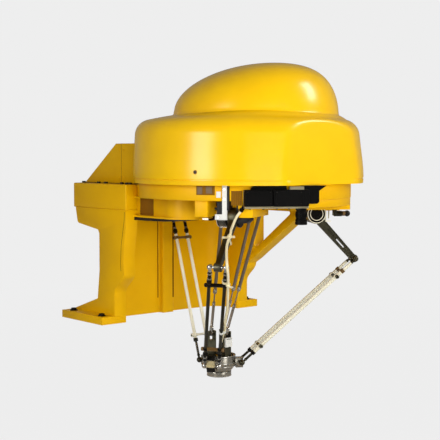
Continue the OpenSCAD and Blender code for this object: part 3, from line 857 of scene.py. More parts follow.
@dataclass
class Assembly:
    """What every sub-assembly shares: the frame, its bodies and its slots."""

    frame: dict

    def __post_init__(self) -> None:
        """Look up the body and the slot of each node."""
        record = self.frame["record"]
        self.bodies = {n: b for b, ns in record["behaviour"]["bodies"].items() for n in ns}
        self.slots = {s["node"]: s["material_slot"] for s in record["subparts"]}

    def coat(self, node: str, finish: Finish, radius: float) -> None:
        """Replace a node by a copy with rounded edges and a finish."""
        self.place(node + "_form", softened(self.frame["nodes"][node], radius), finish, node, (node,))

    def add(self, name: str, drawn: Solid, finish: Finish, node: str, replaces: bool = False) -> None:
        """Make a piece from a drawn solid that goes with a node, or stands in for it."""
        self.place(name, drawn.mesh(name), finish, node, (node,) if replaces else ())

    def place(self, name: str, mesh: bpy.types.Mesh, finish: Finish, node: str,
              replaces: tuple[str, ...] = ()) -> None:
        """Make a piece from a mesh, on the body of a node."""
        new_piece(name, mesh, finish, self.bodies[node], replaces)

    def screws(self, name: str, spots: list[Spot], across: float, tall: float, node: str,
               finish: Finish = Finishes.BLACK_STEEL) -> None:
        """Put cap screws, given by the radius and height of their heads, on a node's body."""
        self.repeat(name, Repeat.SCREW, spots, (across, tall, 0.0), finish, node)

    def repeat(self, name: str, kind: Repeat, spots: list[Spot], sizes: Point, finish: Finish,
               node: str) -> None:
        """Make one piece of a shape repeated at spots, on the body of a node.

        Args:
            name: Piece name.
            kind: What is repeated.
            spots: Where, in millimetres.
            sizes: The radius of a screw or ring or the width of a tooth, then the
                height, then the wire radius of a ring or the length of a tooth.
            finish: Its finish.
            node: The node that it goes with.
        """
        mesh = bpy.data.meshes.new(name)
        mesh.from_pydata([spot.at * MM for spot in spots], [], [])
        for label in ("aim", "side"):
            values = mesh.attributes.new(label, "FLOAT_VECTOR", "POINT")
            values.data.foreach_set("vector", [c for spot in spots for c in getattr(spot, label)])
        obj = linked("work", mesh)
        nodes = obj.modifiers.new("repeat", "NODES")
        nodes.node_group = RepeatTree.get(kind)
        keys = {item.name: item.identifier for item in nodes.node_group.interface.items_tree
                if item.in_out == "INPUT"}
        for label, size in zip(RepeatTree.sizes, sizes):
            nodes[keys[label]] = size * MM
        nodes[keys["Finish"]] = Finishes.get(finish)
        made = applied(obj, name)
        shade(made, RepeatTree.smooth)
        self.place(name, made, finish, node)


# ---------------------------------------------------------------- stand

@dataclass
class Stand(Assembly):
    """Feet, walls, head frame and rear cover, with their bolts, seams and painted shade strips."""

    foot_bolt: Point = (158.0, 42.0, 12.4)
    frame_top: float = 228.0
    beam_x: float = 133.0
    beam_bolts: tuple[float, ...] = (46.0, 1.0, -20.0, -66.0, -80.0, -89.0)
    back_face: float = -5.0
    rib_face: float = -16.0
    rib_ends: Flat = (26.0, 174.0)
    wall_x: float = 145.0
    wall_line: tuple[Flat, ...] = (
        (-89.0, 184.0), (-88.6, 172.0), (-84.0, 150.0), (-79.5, 128.0), (-77.5, 100.0), (-78.5, 88.0))
    cover_x: float = 120.0
    cover_joint: float = -46.0

    def build(self) -> None:
        """Dress the castings, then add what is bolted to them."""
        roundings = {"left_foot": 1.6, "right_foot": 1.6, "left_wall": 2.0, "right_wall": 2.0,
                     "back_wall": 1.5, "head_frame": 1.6, "rear_cover": 1.4}
        for node, radius in roundings.items():
            self.coat(node, Finishes.CAST_PAINT, radius)
        self.foot_bolts()
        self.painted_shade_strips()
        self.beam_screws()
        self.cover_seam()

    def foot_bolts(self) -> None:
        """Black cap screws with washers over the four foot holes."""
        x, y, z = self.foot_bolt
        for side, label in SIDES:
            node = f"{label}_foot"
            holes = [(side * x, s * y, z) for s in (-1, 1)]
            self.screws(f"{node}_bolts", [spot(WORLD, hole, *UPWARD) for hole in holes], 4.6, 4.0, node)
            washers = Solid()
            for hole in holes:
                washers.lathe([(4.7, 0.0), (6.7, 0.0), (6.7, 0.9), (6.3, 1.3), (4.7, 1.3)], shift(*hole), 28,
                              closed=True)
            self.add(f"{node}_washers", washers, Finishes.BLACK_STEEL, node)

    def painted_shade_strips(self) -> None:
        """Painted shade: dark strips beside the back wall's rib, and a dark groove line down the outer face
        of each side wall.
        """
        rib_shade = Solid()
        low, high = self.rib_ends
        # Painted shade: dark brown strips along both edges of the rib
        for x, half, face in ((-14.6, 1.5, self.back_face), (10.0, 1.3, self.rib_face)):
            rib_shade.block((x - half, face - 0.5, low), (x + half, face + 0.4, high))
        self.add("rib_joint", rib_shade, Finishes.SHADE_AND_SEAM_PAINT, "back_wall")
        section = ((-0.5, -0.3), (0.5, -0.3), (0.5, 0.15), (-0.5, 0.15))
        # Painted shade: a thin dark line, sunk a little, where a shallow groove on each wall lies in shade
        for side, label in SIDES:
            groove, x = Solid(), side * self.wall_x
            for ends in zip(self.wall_line, self.wall_line[1:]):
                groove.skin([[Vector((x + side * t, y + w, z)) for w, t in section] for y, z in ends])
            self.add(f"{label}_wall_groove", groove, Finishes.SHADE_AND_SEAM_PAINT, f"{label}_wall")

    def beam_screws(self) -> None:
        """Cap screws along the two beams, and a sealing strip under the cover's edge."""
        top, strip = self.frame_top, Solid()
        for side, label in SIDES:
            spots = [spot(WORLD, (side * self.beam_x, y, top), *UPWARD) for y in self.beam_bolts]
            self.screws(f"{label}_beam_screws", spots, 3.3, 3.0, "head_frame")
            x = side * self.cover_x
            strip.block((x - 1.2, -92.0, top), (x + 1.2, 58.0, top + 0.9), rounding=0.2)
        self.add("cover_sealing_strip", strip, Finishes.RUBBER, "rear_cover")

    def cover_seam(self) -> None:
        """The joint between the cover's front and rear sheets, with its flat screws."""
        seam, wide, y0, y1 = Solid(), self.cover_x, self.cover_joint - 0.4, self.cover_joint + 0.4
        for side, label in SIDES:
            seam.block((side * wide - 0.12, y0, 230.0), (side * wide + 0.12, y1, 293.0))
        seam.block((1 - wide, y0, 293.9), (wide - 1, y1, 294.1))
        self.add("cover_seam", seam, Finishes.SHADE_AND_SEAM_PAINT, "rear_cover")
        for side, label in SIDES:
            spots = [spot(WORLD, (side * wide, self.cover_joint + y, z), (side, 0, 0))
                     for y in (-6.0, 6.0) for z in (284.0, 238.0)]
            self.screws(f"{label}_cover_screws", spots, 1.8, 0.7, "rear_cover", Finishes.CAST_PAINT)


# ---------------------------------------------------------------- hood

@dataclass
class Hood(Assembly):
    """The hood: one closed shell whose outer skin runs from rim to crown.

    Each level ring is clipped by the flat panel on the front. Points of a ring
    gather at the panel's two upright edges, so these come out crisp. The crease
    between the tier and the dome rises in one wave, to the left of the front.
    """

    rim_z: float = 232.0
    rim_r: float = 182.0
    shoulder_z: float = 334.0
    corner: Point = (151.5, 305.0, 26.0)
    dome_r: float = 129.0
    dome_z: float = 339.0
    crown_z: float = 416.0
    back: float = 14.0
    tier_lean: float = 4.5
    fillet_back: float = 22.3
    fillet_wide: float = 29.2
    dome_back: float = -4.0
    crown_back: float = 41.0
    panel: float = 165.0
    wall: float = 3.0
    around: int = 168
    panel_steps: int = 12
    panel_least: float = 6.0
    panel_soft: float = 1.3
    panel_near: float = 25.0
    wave: Point = (228.0, 34.0, 3.6)
    screw_angles: tuple[float, ...] = (203.5, 83.5, 323.5)
    screw_z: float = 251.0

    def tier_back(self, z: float) -> float:
        """Return how far behind the robot's axis the tier's centre lies at a height."""
        return self.back + self.tier_lean * (z - self.rim_z) / (self.shoulder_z - self.rim_z)

    def ring(self, z: float, radius: float, back: float, flat: float, swell: float) -> list[Vector]:
        """Return one ring of points.

        Args:
            z: Height.
            radius: Radius before clipping.
            back: How far behind the robot's axis its centre lies.
            flat: Distance of the front panel from the centre.
            swell: How much of the crease's wave the ring takes.

        Returns:
            The points, in order.
        """
        half = math.degrees(math.acos(flat / radius)) if radius > flat else 0.0
        half = max(half, self.panel_least)
        middle, wide, high = self.wave
        points = []
        for j in range(self.around):
            if j <= self.panel_steps or j >= self.around - self.panel_steps:
                k = j if j <= self.panel_steps else j - self.around
                angle = 270.0 + half * k / self.panel_steps
            else:
                share = (j - self.panel_steps) / (self.around - 2 * self.panel_steps)
                angle = 270.0 + half + (360.0 - 2 * half) * share
            a = math.radians(angle)
            lift = high * swell * math.exp(-(((angle % 360) - middle) / wide) ** 2)
            front = -radius * math.sin(a)
            if front > flat - self.panel_near:
                front = flat - self.panel_soft * math.log(1.0 + math.exp((flat - front) / self.panel_soft))
            points.append(Vector((radius * math.cos(a), back - LINKS.reach - front, z + lift)))
        return points

    def tier(self, inset: float) -> list[list[Vector]]:
        """Lay the rings of the lower tier, from the rim up to the crease.

        Args:
            inset: Zero for the outer skin, and the wall's thickness for the inner.

        Returns:
            The rings.
        """
        r = self.rim_r - inset
        corner_r, corner_z, corner = self.corner[0], self.corner[1], self.corner[2] - inset
        levels = [(self.rim_z + (self.wall if inset else 0.0), r - 1.0, 0.0)]
        if not inset:
            levels += [(z, r - d, 0.0) for z, d in ((238.2, 0.3), (238.7, 1.5), (239.7, 1.5), (240.2, 0.2))]
        levels += [(z, r - d, 0.0) for z, d in ((243.0, 0.0), (254.0, 0.1), (268.0, 1.0), (287.0, 2.9))]
        for k in range(11):
            a = math.radians(7.5 * k)
            levels.append((corner_z + corner * math.sin(a), corner_r + corner * math.cos(a), 0.008 * k * k))
        return [self.ring(z, r, self.tier_back(z), self.panel - inset, s) for z, r, s in levels]

    def dome(self, inset: float) -> list[list[Vector]]:
        """Lay the rings of the dome, from the crease's fillet to the crown.

        Args:
            inset: Zero for the outer skin, and the wall's thickness for the inner.

        Returns:
            The rings.
        """
        fillet = [(332.9, 148.6, 0.9), (334.9, 140.4, 1.0), (336.3, 134.0, 1.0), (337.0, 131.0, 1.0),
                  (338.6, 129.6, 1.0), (343.0, 128.9, 0.8)]
        if inset:
            fillet = fillet[:2] + fillet[-1:]
        rings = []
        for z, r, s in fillet:
            back = self.dome_back + self.fillet_back * (r - self.dome_r) / self.fillet_wide
            rings.append(self.ring(z - inset, r - inset, back, self.panel, s))
        rise = self.crown_z - self.dome_z - inset
        for degrees in [3.0 * k for k in range(3, 29)] + [88.65]:
            sine, cosine = math.sin(math.radians(degrees)), math.cos(math.radians(degrees))
            radius = max((self.dome_r - inset) * cosine ** 0.89, 0.5)
            back = self.dome_back - self.crown_back * sine ** 2.2
            rings.append(self.ring(self.dome_z + rise * sine, radius, back, self.panel, 0.4 * cosine ** 4))
        return rings

    def build(self) -> None:
        """Skin the shell inside and out in one closed mesh, then add its screws."""
        inner = list(reversed(self.tier(self.wall) + self.dome(self.wall)))
        lip = [self.ring(z, 150.0, self.back, self.panel, 0.0) for z in (self.rim_z + self.wall, self.rim_z)]
        shell = Solid().skin(inner + lip + self.tier(0.0) + self.dome(0.0))
        self.add("hood_shell", shell, Finishes.HOOD_PAINT, "hood", replaces=True)
        self.rim_screws()

    def rim_screws(self) -> None:
        """Three flush screws with washers that hold the hood down."""
        spots, washers = [], Solid()
        for degrees in self.screw_angles:
            out = LINKS.radial(degrees)
            centre = LINKS.axis() + Vector((0, self.tier_back(self.screw_z), self.screw_z))
            at = centre + (self.rim_r - 0.1) * out
            washers.lathe([(1.4, -0.6), (3.1, -0.6), (3.1, 0.25), (2.6, 0.5), (1.4, 0.5)],
                          Matrix.Translation(at) @ facing(out), 24, closed=True)
            spots.append(spot(WORLD, at, out))
        self.add("hood_screw_washers", washers, Finishes.SHADE_AND_SEAM_PAINT, "hood")
        self.screws("hood_screws", spots, 2.0, 0.8, "hood")


# ---------------------------------------------------------------- base

@dataclass
class Base(Assembly):
    """Flange, arm carrier and side housing of the robot's base."""

    flange_r: float = 168.0
    flange_back: float = 22.0
    housing_at: Point = (-88.0, 62.0, 42.0)
    housing_x: float = -129.2
    housing_z: Flat = (176.0, 209.0)
    pocket_z: Flat = (178.8, 206.6)

    def build(self) -> None:
        """Dress the castings, then build the side housing and the connectors."""
        self.coat("base_casting", Finishes.CAST_PAINT, 1.0)
        self.coat("arm_carrier", Finishes.CAST_PAINT, 1.0)
        self.housing()
        self.connectors()

    def housing(self) -> None:
        """The rounded side housing: a pocket between two lips, deepest towards the wall, with painted shade
        deep in the pocket and under the rim.
        """
        place = Matrix.Translation(LINKS.axis())
        x, y, r = self.housing_at
        outs = [LINKS.radial(290 - 5 * k) for k in range(25)]
        path = [(x + r * out.x, y + r * out.y, out.x, out.y) for out in outs]
        path += [(self.housing_x, far, -1.0, 0.0) for far in (80.0, 95.0, 104.0, 107.0, 146.0, 149.0)]
        depth = [0.0] * 9 + [5.0 * (k / 16) ** 1.5 for k in range(1, 17)] + [6.0, 7.5, 9.0, 14.0, 14.0, 0.0]
        close = [(-60.0, 149.0), (-52.0, 40.0)]

        def edge(sink: list[float] | float, more: float = 0.0) -> list[Flat]:
            """Return the outline, sunk by one depth or by a depth at each point, and by some more."""
            sinks = sink if isinstance(sink, list) else [sink] * len(path)
            return [(px - nx * (d + more), py - ny * (d + more)) for (px, py, nx, ny), d in zip(path, sinks)]

        (foot, top), (low, high) = self.housing_z, self.pocket_z
        form = Solid().slab(edge(0.0) + close, foot, low, place, 0.8)
        form.slab(edge(0.0) + close, high, top, place, 0.5)
        form.slab(edge(depth) + close, 177.5, 208.0, place)
        form.slab(edge(-0.5)[:6] + edge(2.0)[5::-1], 178.0, 207.0, place, 0.4)
        self.add("side_housing_form", form, Finishes.CAST_PAINT, "side_housing", replaces=True)
        # Painted shade: a dark brown sheet at the pocket's deepest end, towards the wall
        pocket_shade = Solid().slab(edge(depth, -0.4)[28:30] + edge(depth, 1.0)[29:27:-1], low, high, place)
        self.add("housing_pocket", pocket_shade, Finishes.SHADE_AND_SEAM_PAINT, "side_housing")
        # Painted shade: a black strip under the housing's lower rim stands in for the shadowed gap beneath
        # it, and hangs lower towards the wall
        rim = list(zip(edge(0.8)[6:], edge(4.0)[6:]))
        rings = []
        for k, (outer, inner) in enumerate(rim):
            drop = foot - 0.6 - 4.6 * k / (len(rim) - 1)
            rings.append([place @ Vector((*a, z)) for a, z in
                          ((outer, foot + 0.2), (inner, foot + 0.2), (inner, drop), (outer, drop))])
        self.add("housing_seal", Solid().skin(rings), Finishes.RUBBER, "side_housing")

    def connectors(self) -> None:
        """Painted shade: dark brown sheets where the recesses beside the white bracket lie in shade, and
        small connector blocks in them.
        """
        level = LINKS.level(LEFT)
        dark, grey, steps = Solid(), Solid(), 6
        # Painted shade: thin dark brown sheets on the flange's rim, in short steps along its curve
        for y0, y1, z0, z1 in ((-38.0, -9.5, 217.5, 231.0), (14.5, 30.0, 203.0, 224.0)):
            for k in range(steps):
                a, b = (y0 + (y1 - y0) * n / steps for n in (k, k + 1))
                face = self.face_x((a + b) / 2)
                dark.block((face - 1.6, a, z0), (face + 0.35, b, z1), level)
        for y0, y1, z0, z1 in ((-36.0, -28.5, 219.0, 229.5), (-22.5, -13.0, 220.0, 230.0)):
            face = self.face_x((y0 + y1) / 2)
            grey.block((face - 1.0, y0, z0), (face + 1.3, y1, z1), level, 0.5)
        self.add("connector_recess", dark, Finishes.SHADE_AND_SEAM_PAINT, "base_casting")
        self.add("connector_blocks", grey, Finishes.CLIP_BROWN, "base_casting")

    def face_x(self, y: float) -> float:
        """Return where the flange's rim lies in the left arm's level axes, at a sideways place."""
        centre = LINKS.level(LEFT).inverted() @ (LINKS.axis() + Vector((0.0, self.flange_back, 0.0)))
        return centre.x + math.sqrt(self.flange_r ** 2 - (y - centre.y) ** 2)


# ---------------------------------------------------------------- shoulders

@dataclass
class GearHousing(Assembly):
    """The gear housing and axle of one arm, ringed on its faces and ribbed round its drum."""

    arm: int
    outer: float = 23.7
    inner: float = 7.0
    cap: float = 11.0
    drum_r: float = 15.5
    post: Flat = (12.0, 26.5)
    rib_count: int = 44

    def build(self) -> None:
        """Build the drum, the rings, the ribs and the screws."""
        node = f"{ARM_NAMES[self.arm]}_gearbox"
        place = LINKS.at_shoulder(self.arm)
        face = place @ ALONG_Y
        self.add(f"{node}_drum", self.drum(place, face), Finishes.BLACK_STEEL, node, replaces=True)
        # Rings and brackets in the rods' pale cream paint: a painted sheen that stands in for bright steel
        rings = Solid()
        for radius in (10.2, 14.4):
            rings.band(face, radius - 0.5, radius + 0.5, -self.outer - 0.25, -self.outer + 0.6, 48)
        if self.arm == RIGHT:
            for x0, x1, z0, z1 in (
                    (17.5, 18.9, -13.0, 4.6), (22.6, 24.0, -8.0, 4.6), (18.9, 26.4, -13.0, -11.6)):
                rings.block((x0, -12.6, z0), (x1, -9.2, z1), place, 0.3)
        self.add(f"{node}_rings", rings, Finishes.ROD_PAINTED_SHEEN, node)
        middle = -(self.outer + self.inner) / 2
        ribs = spots_round(face, self.drum_r - 0.2, self.rib_count, middle, outward=True)
        self.repeat(f"{node}_ribs", Repeat.TOOTH, ribs, (0.9, 0.9, 14.0), Finishes.WRIST_STEEL, node)
        screws = spots_round(place @ turn("X", 90), 7.0, 6, self.outer - 0.8)
        self.screws(f"{node}_screws", screws, 1.1, 0.8, node)

    def drum(self, place: Matrix, face: Matrix) -> Solid:
        """Draw the drum on both sides of the arm, the axle and the post that carries them.

        Args:
            place: The axes at the hinge, z up.
            face: The same axes with z along the hinge.

        Returns:
            The solid.
        """
        far, near, cap, r = -self.outer, -self.inner, self.cap, self.drum_r
        drum = Solid().lathe([
            (0.0, far), (5.0, far), (5.4, far + 0.8), (8.6, far + 0.8), (9.0, far), (11.4, far),
            (11.9, far + 1.2), (13.2, far + 1.2), (13.6, far + 0.2), (r - 0.8, far + 0.2), (r, far + 1.0),
            (r, near - 0.8), (r - 0.8, near), (0.0, near)], face, 48)
        drum.lathe([(0.0, -near), (r - 0.6, -near), (r, 0.6 - near), (r, cap - 0.8), (r - 0.8, cap),
                    (8.2, cap), (7.8, cap - 0.7), (0.0, cap - 0.7)], face, 48)
        drum.lathe([(0.0, far - 0.2), (4.2, far - 0.2), (5.0, far + 0.5), (5.0, cap + 0.3), (0.0, cap + 0.3)],
                   face, 28)
        half, high = self.post
        for y0, y1 in ((far, near), (-near, cap)):
            drum.block((-half, y0, 0.0), (half, y1, high), place, 0.8)
        return drum


# ---------------------------------------------------------------- camera

@dataclass
class Camera(Assembly):
    """Vision camera, its controller, lens and zinc plated bracket."""

    back: float = -149.0
    low: float = 202.0
    top: float = 226.0
    shelf: float = 3.2
    lens_at: Flat = (36.0, 6.0)
    lens_r: float = 8.75
    lens_len: float = 23.8

    def build(self) -> None:
        """Build the housings, then what is screwed to them."""
        self.coat("camera_bracket", Finishes.ZINC_PLATE, 0.3)
        self.coat("camera_controller", Finishes.BLACK_ANODISED, 0.9)
        self.coat("camera_body", Finishes.BLACK_ANODISED, 0.9)
        self.front_plates()
        self.lens()

    def front_plates(self) -> None:
        """Shallow cover plates, their screws and the pale plate on top."""
        pad, back = LINKS.level(RIGHT), self.back
        covers = Solid()
        for x0, x1, out, sunk in (
                (-46.2, -8.4, 11.5, 10.6), (-3.4, 35.6, 14.5, 13.6), (36.6, 44.6, 14.4, 13.6)):
            covers.block((x0, back - out, self.low + 1.6), (x1, back - sunk, self.top - 1.6), pad, 0.35)
        self.add("camera_covers", covers, Finishes.BLACK_ANODISED, "camera_body")
        pale = Solid().block((17.5, back - 13.0, self.top), (38.4, back - 7.2, self.top + 4.4), pad, 0.5)
        self.add("camera_top_plate", pale, Finishes.ZINC_PLATE, "camera_body")
        screws = [spot(pad, (x, back - y, z), (0, -1, 0))
                  for x, y in ((-44.2, 11.5), (-10.4, 11.5), (-1.6, 14.5), (33.8, 14.5))
                  for z in (self.low + 3.6, self.top - 3.6)]
        self.screws("camera_cover_screws", screws, 1.0, 0.5, "camera_body")
        under = [spot(pad, (x, back - 6.0, self.low - self.shelf), (0, 0, -1), (1, 0, 0))
                 for x in (-40, -20, 0, 18)]
        self.screws("camera_shelf_screws", under, 1.8, 1.2, "camera_bracket")

    def lens(self) -> None:
        """The lens: two knurled rings, a wider front ring and the glass."""
        x, y = self.lens_at
        place = LINKS.level(RIGHT) @ shift(x, self.back - y, self.low - self.shelf)
        end, r = -self.lens_len, self.lens_r
        barrel = Solid().lathe([
            (0.0, 0.0), (r - 0.6, 0.0), (r - 0.6, -2.2), (r - 1.4, -2.8), (r - 1.4, -4.2), (r - 0.5, -4.8),
            (r - 0.5, -13.2), (r - 1.2, -13.8), (r - 1.2, -15.4), (r - 0.5, -16.0), (r - 0.5, -19.2),
            (r, -19.8), (r, end + 0.5), (r - 0.5, end), (r - 2.2, end), (r - 3.2, end + 2.4),
            (0.0, end + 2.4)], place, 48)
        self.add("lens_barrel", barrel, Finishes.BLACK_ANODISED, "camera_lens", replaces=True)
        glass = Solid().lathe([(0.0, end + 3.0), (5.6, end + 3.0), (5.6, end + 2.2), (4.0, end + 1.6),
                               (2.0, end + 1.3), (0.0, end + 1.2)], place, 40)
        self.add("lens_glass", glass, Finishes.LENS_GLASS, "camera_lens")
        for label, height, tall in (("focus", -9.0, 6.6), ("iris", -17.6, 2.6)):
            ribs = spots_round(place, r - 0.45, 40, height, outward=True)
            self.repeat(f"lens_{label}_ribs", Repeat.TOOTH, ribs, (0.6, 0.5, tall), Finishes.BLACK_ANODISED,
                        "camera_lens")


# ---------------------------------------------------------------- brackets and stops

def ball_profile(radius: float, middle: float = 0.0, step: int = 10) -> list[Flat]:
    """Return a ball's profile for a lathe, with a point every few degrees."""
    return [(radius * math.sin(math.radians(t)), middle - radius * math.cos(math.radians(t)))
            for t in range(0, 181, step)]


@dataclass
class Brackets(Assembly):
    """White bracket, its valve and the two end stops."""

    stop_at: Point = (120.0, -34.0, 183.5)

    def build(self) -> None:
        """Build the bracket, the valve beside it and both stops."""
        self.coat("valve_bracket", Finishes.WHITE_SHEET, 0.7)
        level = LINKS.level(LEFT)
        valve = Solid().block((146.5, -6.4, 191.0), (156.0, 1.6, 207.5), level, 0.8)
        valve.lathe([(0.0, 0.0), (1.8, 0.0), (1.8, 4.0), (1.2, 4.6), (0.0, 4.6)],
                    level @ shift(152.0, -6.4, 198.0) @ turn("X", 90), 20)
        valve.block((150.5, 9.2, 196.0), (157.0, 12.4, 231.0), level, 0.5)
        self.add("air_valve", valve, Finishes.RUBBER, "valve_bracket")
        coil = Solid().block((150.0, -7.0, 214.0), (157.4, -0.4, 223.0), level, 0.8)
        self.add("valve_coil", coil, Finishes.WHITE_SHEET, "valve_bracket")
        spots = [spot(level, (158.0, y, z), (1, 0, 0))
                 for y, z in ((5.7, 226.0), (5.7, 212.0), (-4.0, 186.0))]
        self.screws("bracket_screws", spots, 1.5, 0.8, "valve_bracket", Finishes.BALL_STEEL)
        self.left_stop(level)
        self.right_stop()

    def left_stop(self, level: Matrix) -> None:
        """Wedge shaped rubber stop with a bright plate under its toe.

        Args:
            level: The left arm's level axes.
        """
        self.coat("left_stop", Finishes.RUBBER, 0.9)
        plate = Solid().block((142.9, -33.0, 180.6), (144.3, -24.0, 183.4), level, 0.3)
        self.add("left_stop_plate", plate, Finishes.WRIST_STEEL, "left_stop")

    def right_stop(self) -> None:
        """Threaded bright sleeve, brown nut and black ball of the right stop."""
        pad = LINKS.level(RIGHT)
        x, y, z = self.stop_at
        along = pad @ shift(x, y, z) @ ALONG_X
        sleeve = Solid().block((x, y - 5.6, z - 3.0), (x + 4.0, y + 5.6, z + 6.5), pad, 0.6)
        profile = [(0.0, 1.0), (4.2, 1.0)]
        for k in range(7):
            profile += [(r, h + 1.7 * k) for r, h in ((4.4, 2.2), (4.4, 3.1), (3.7, 3.3), (3.7, 3.7))]
        sleeve.lathe(profile + [(3.4, 14.6), (0.0, 14.6)], along, 32)
        self.add("right_stop_sleeve", sleeve, Finishes.DARK_ROD, "right_stop", replaces=True)
        nut = Solid().lathe([(0.0, 14.0), (3.4, 14.0), (3.8, 14.6), (3.8, 18.6), (3.4, 19.2), (0.0, 19.2)],
                            along, 6)
        self.add("right_stop_nut", nut, Finishes.CLIP_BROWN, "right_stop")
        ball = Solid().lathe(ball_profile(4.8, 22.4, 12), along, 32)
        self.add("right_stop_ball", ball, Finishes.RUBBER, "right_stop")


# ---------------------------------------------------------------- arms and rods



@dataclass(frozen=True)
class RodEnd:
    """How one end of a pair of rods is dressed; lengths run from the ball.

    The sleeve covers the rod's neck, the collar is the ring that closes it, and
    the rings are light bands round the sleeve.
    """

    sleeve: Finish
    sleeve_end: float
    sleeve_r: float
    collar: Finish
    collar_at: float
    tie: Finish
    tie_clamp: Finish
    rings: tuple[float, ...] = ()
    tie_at: float = 42.0


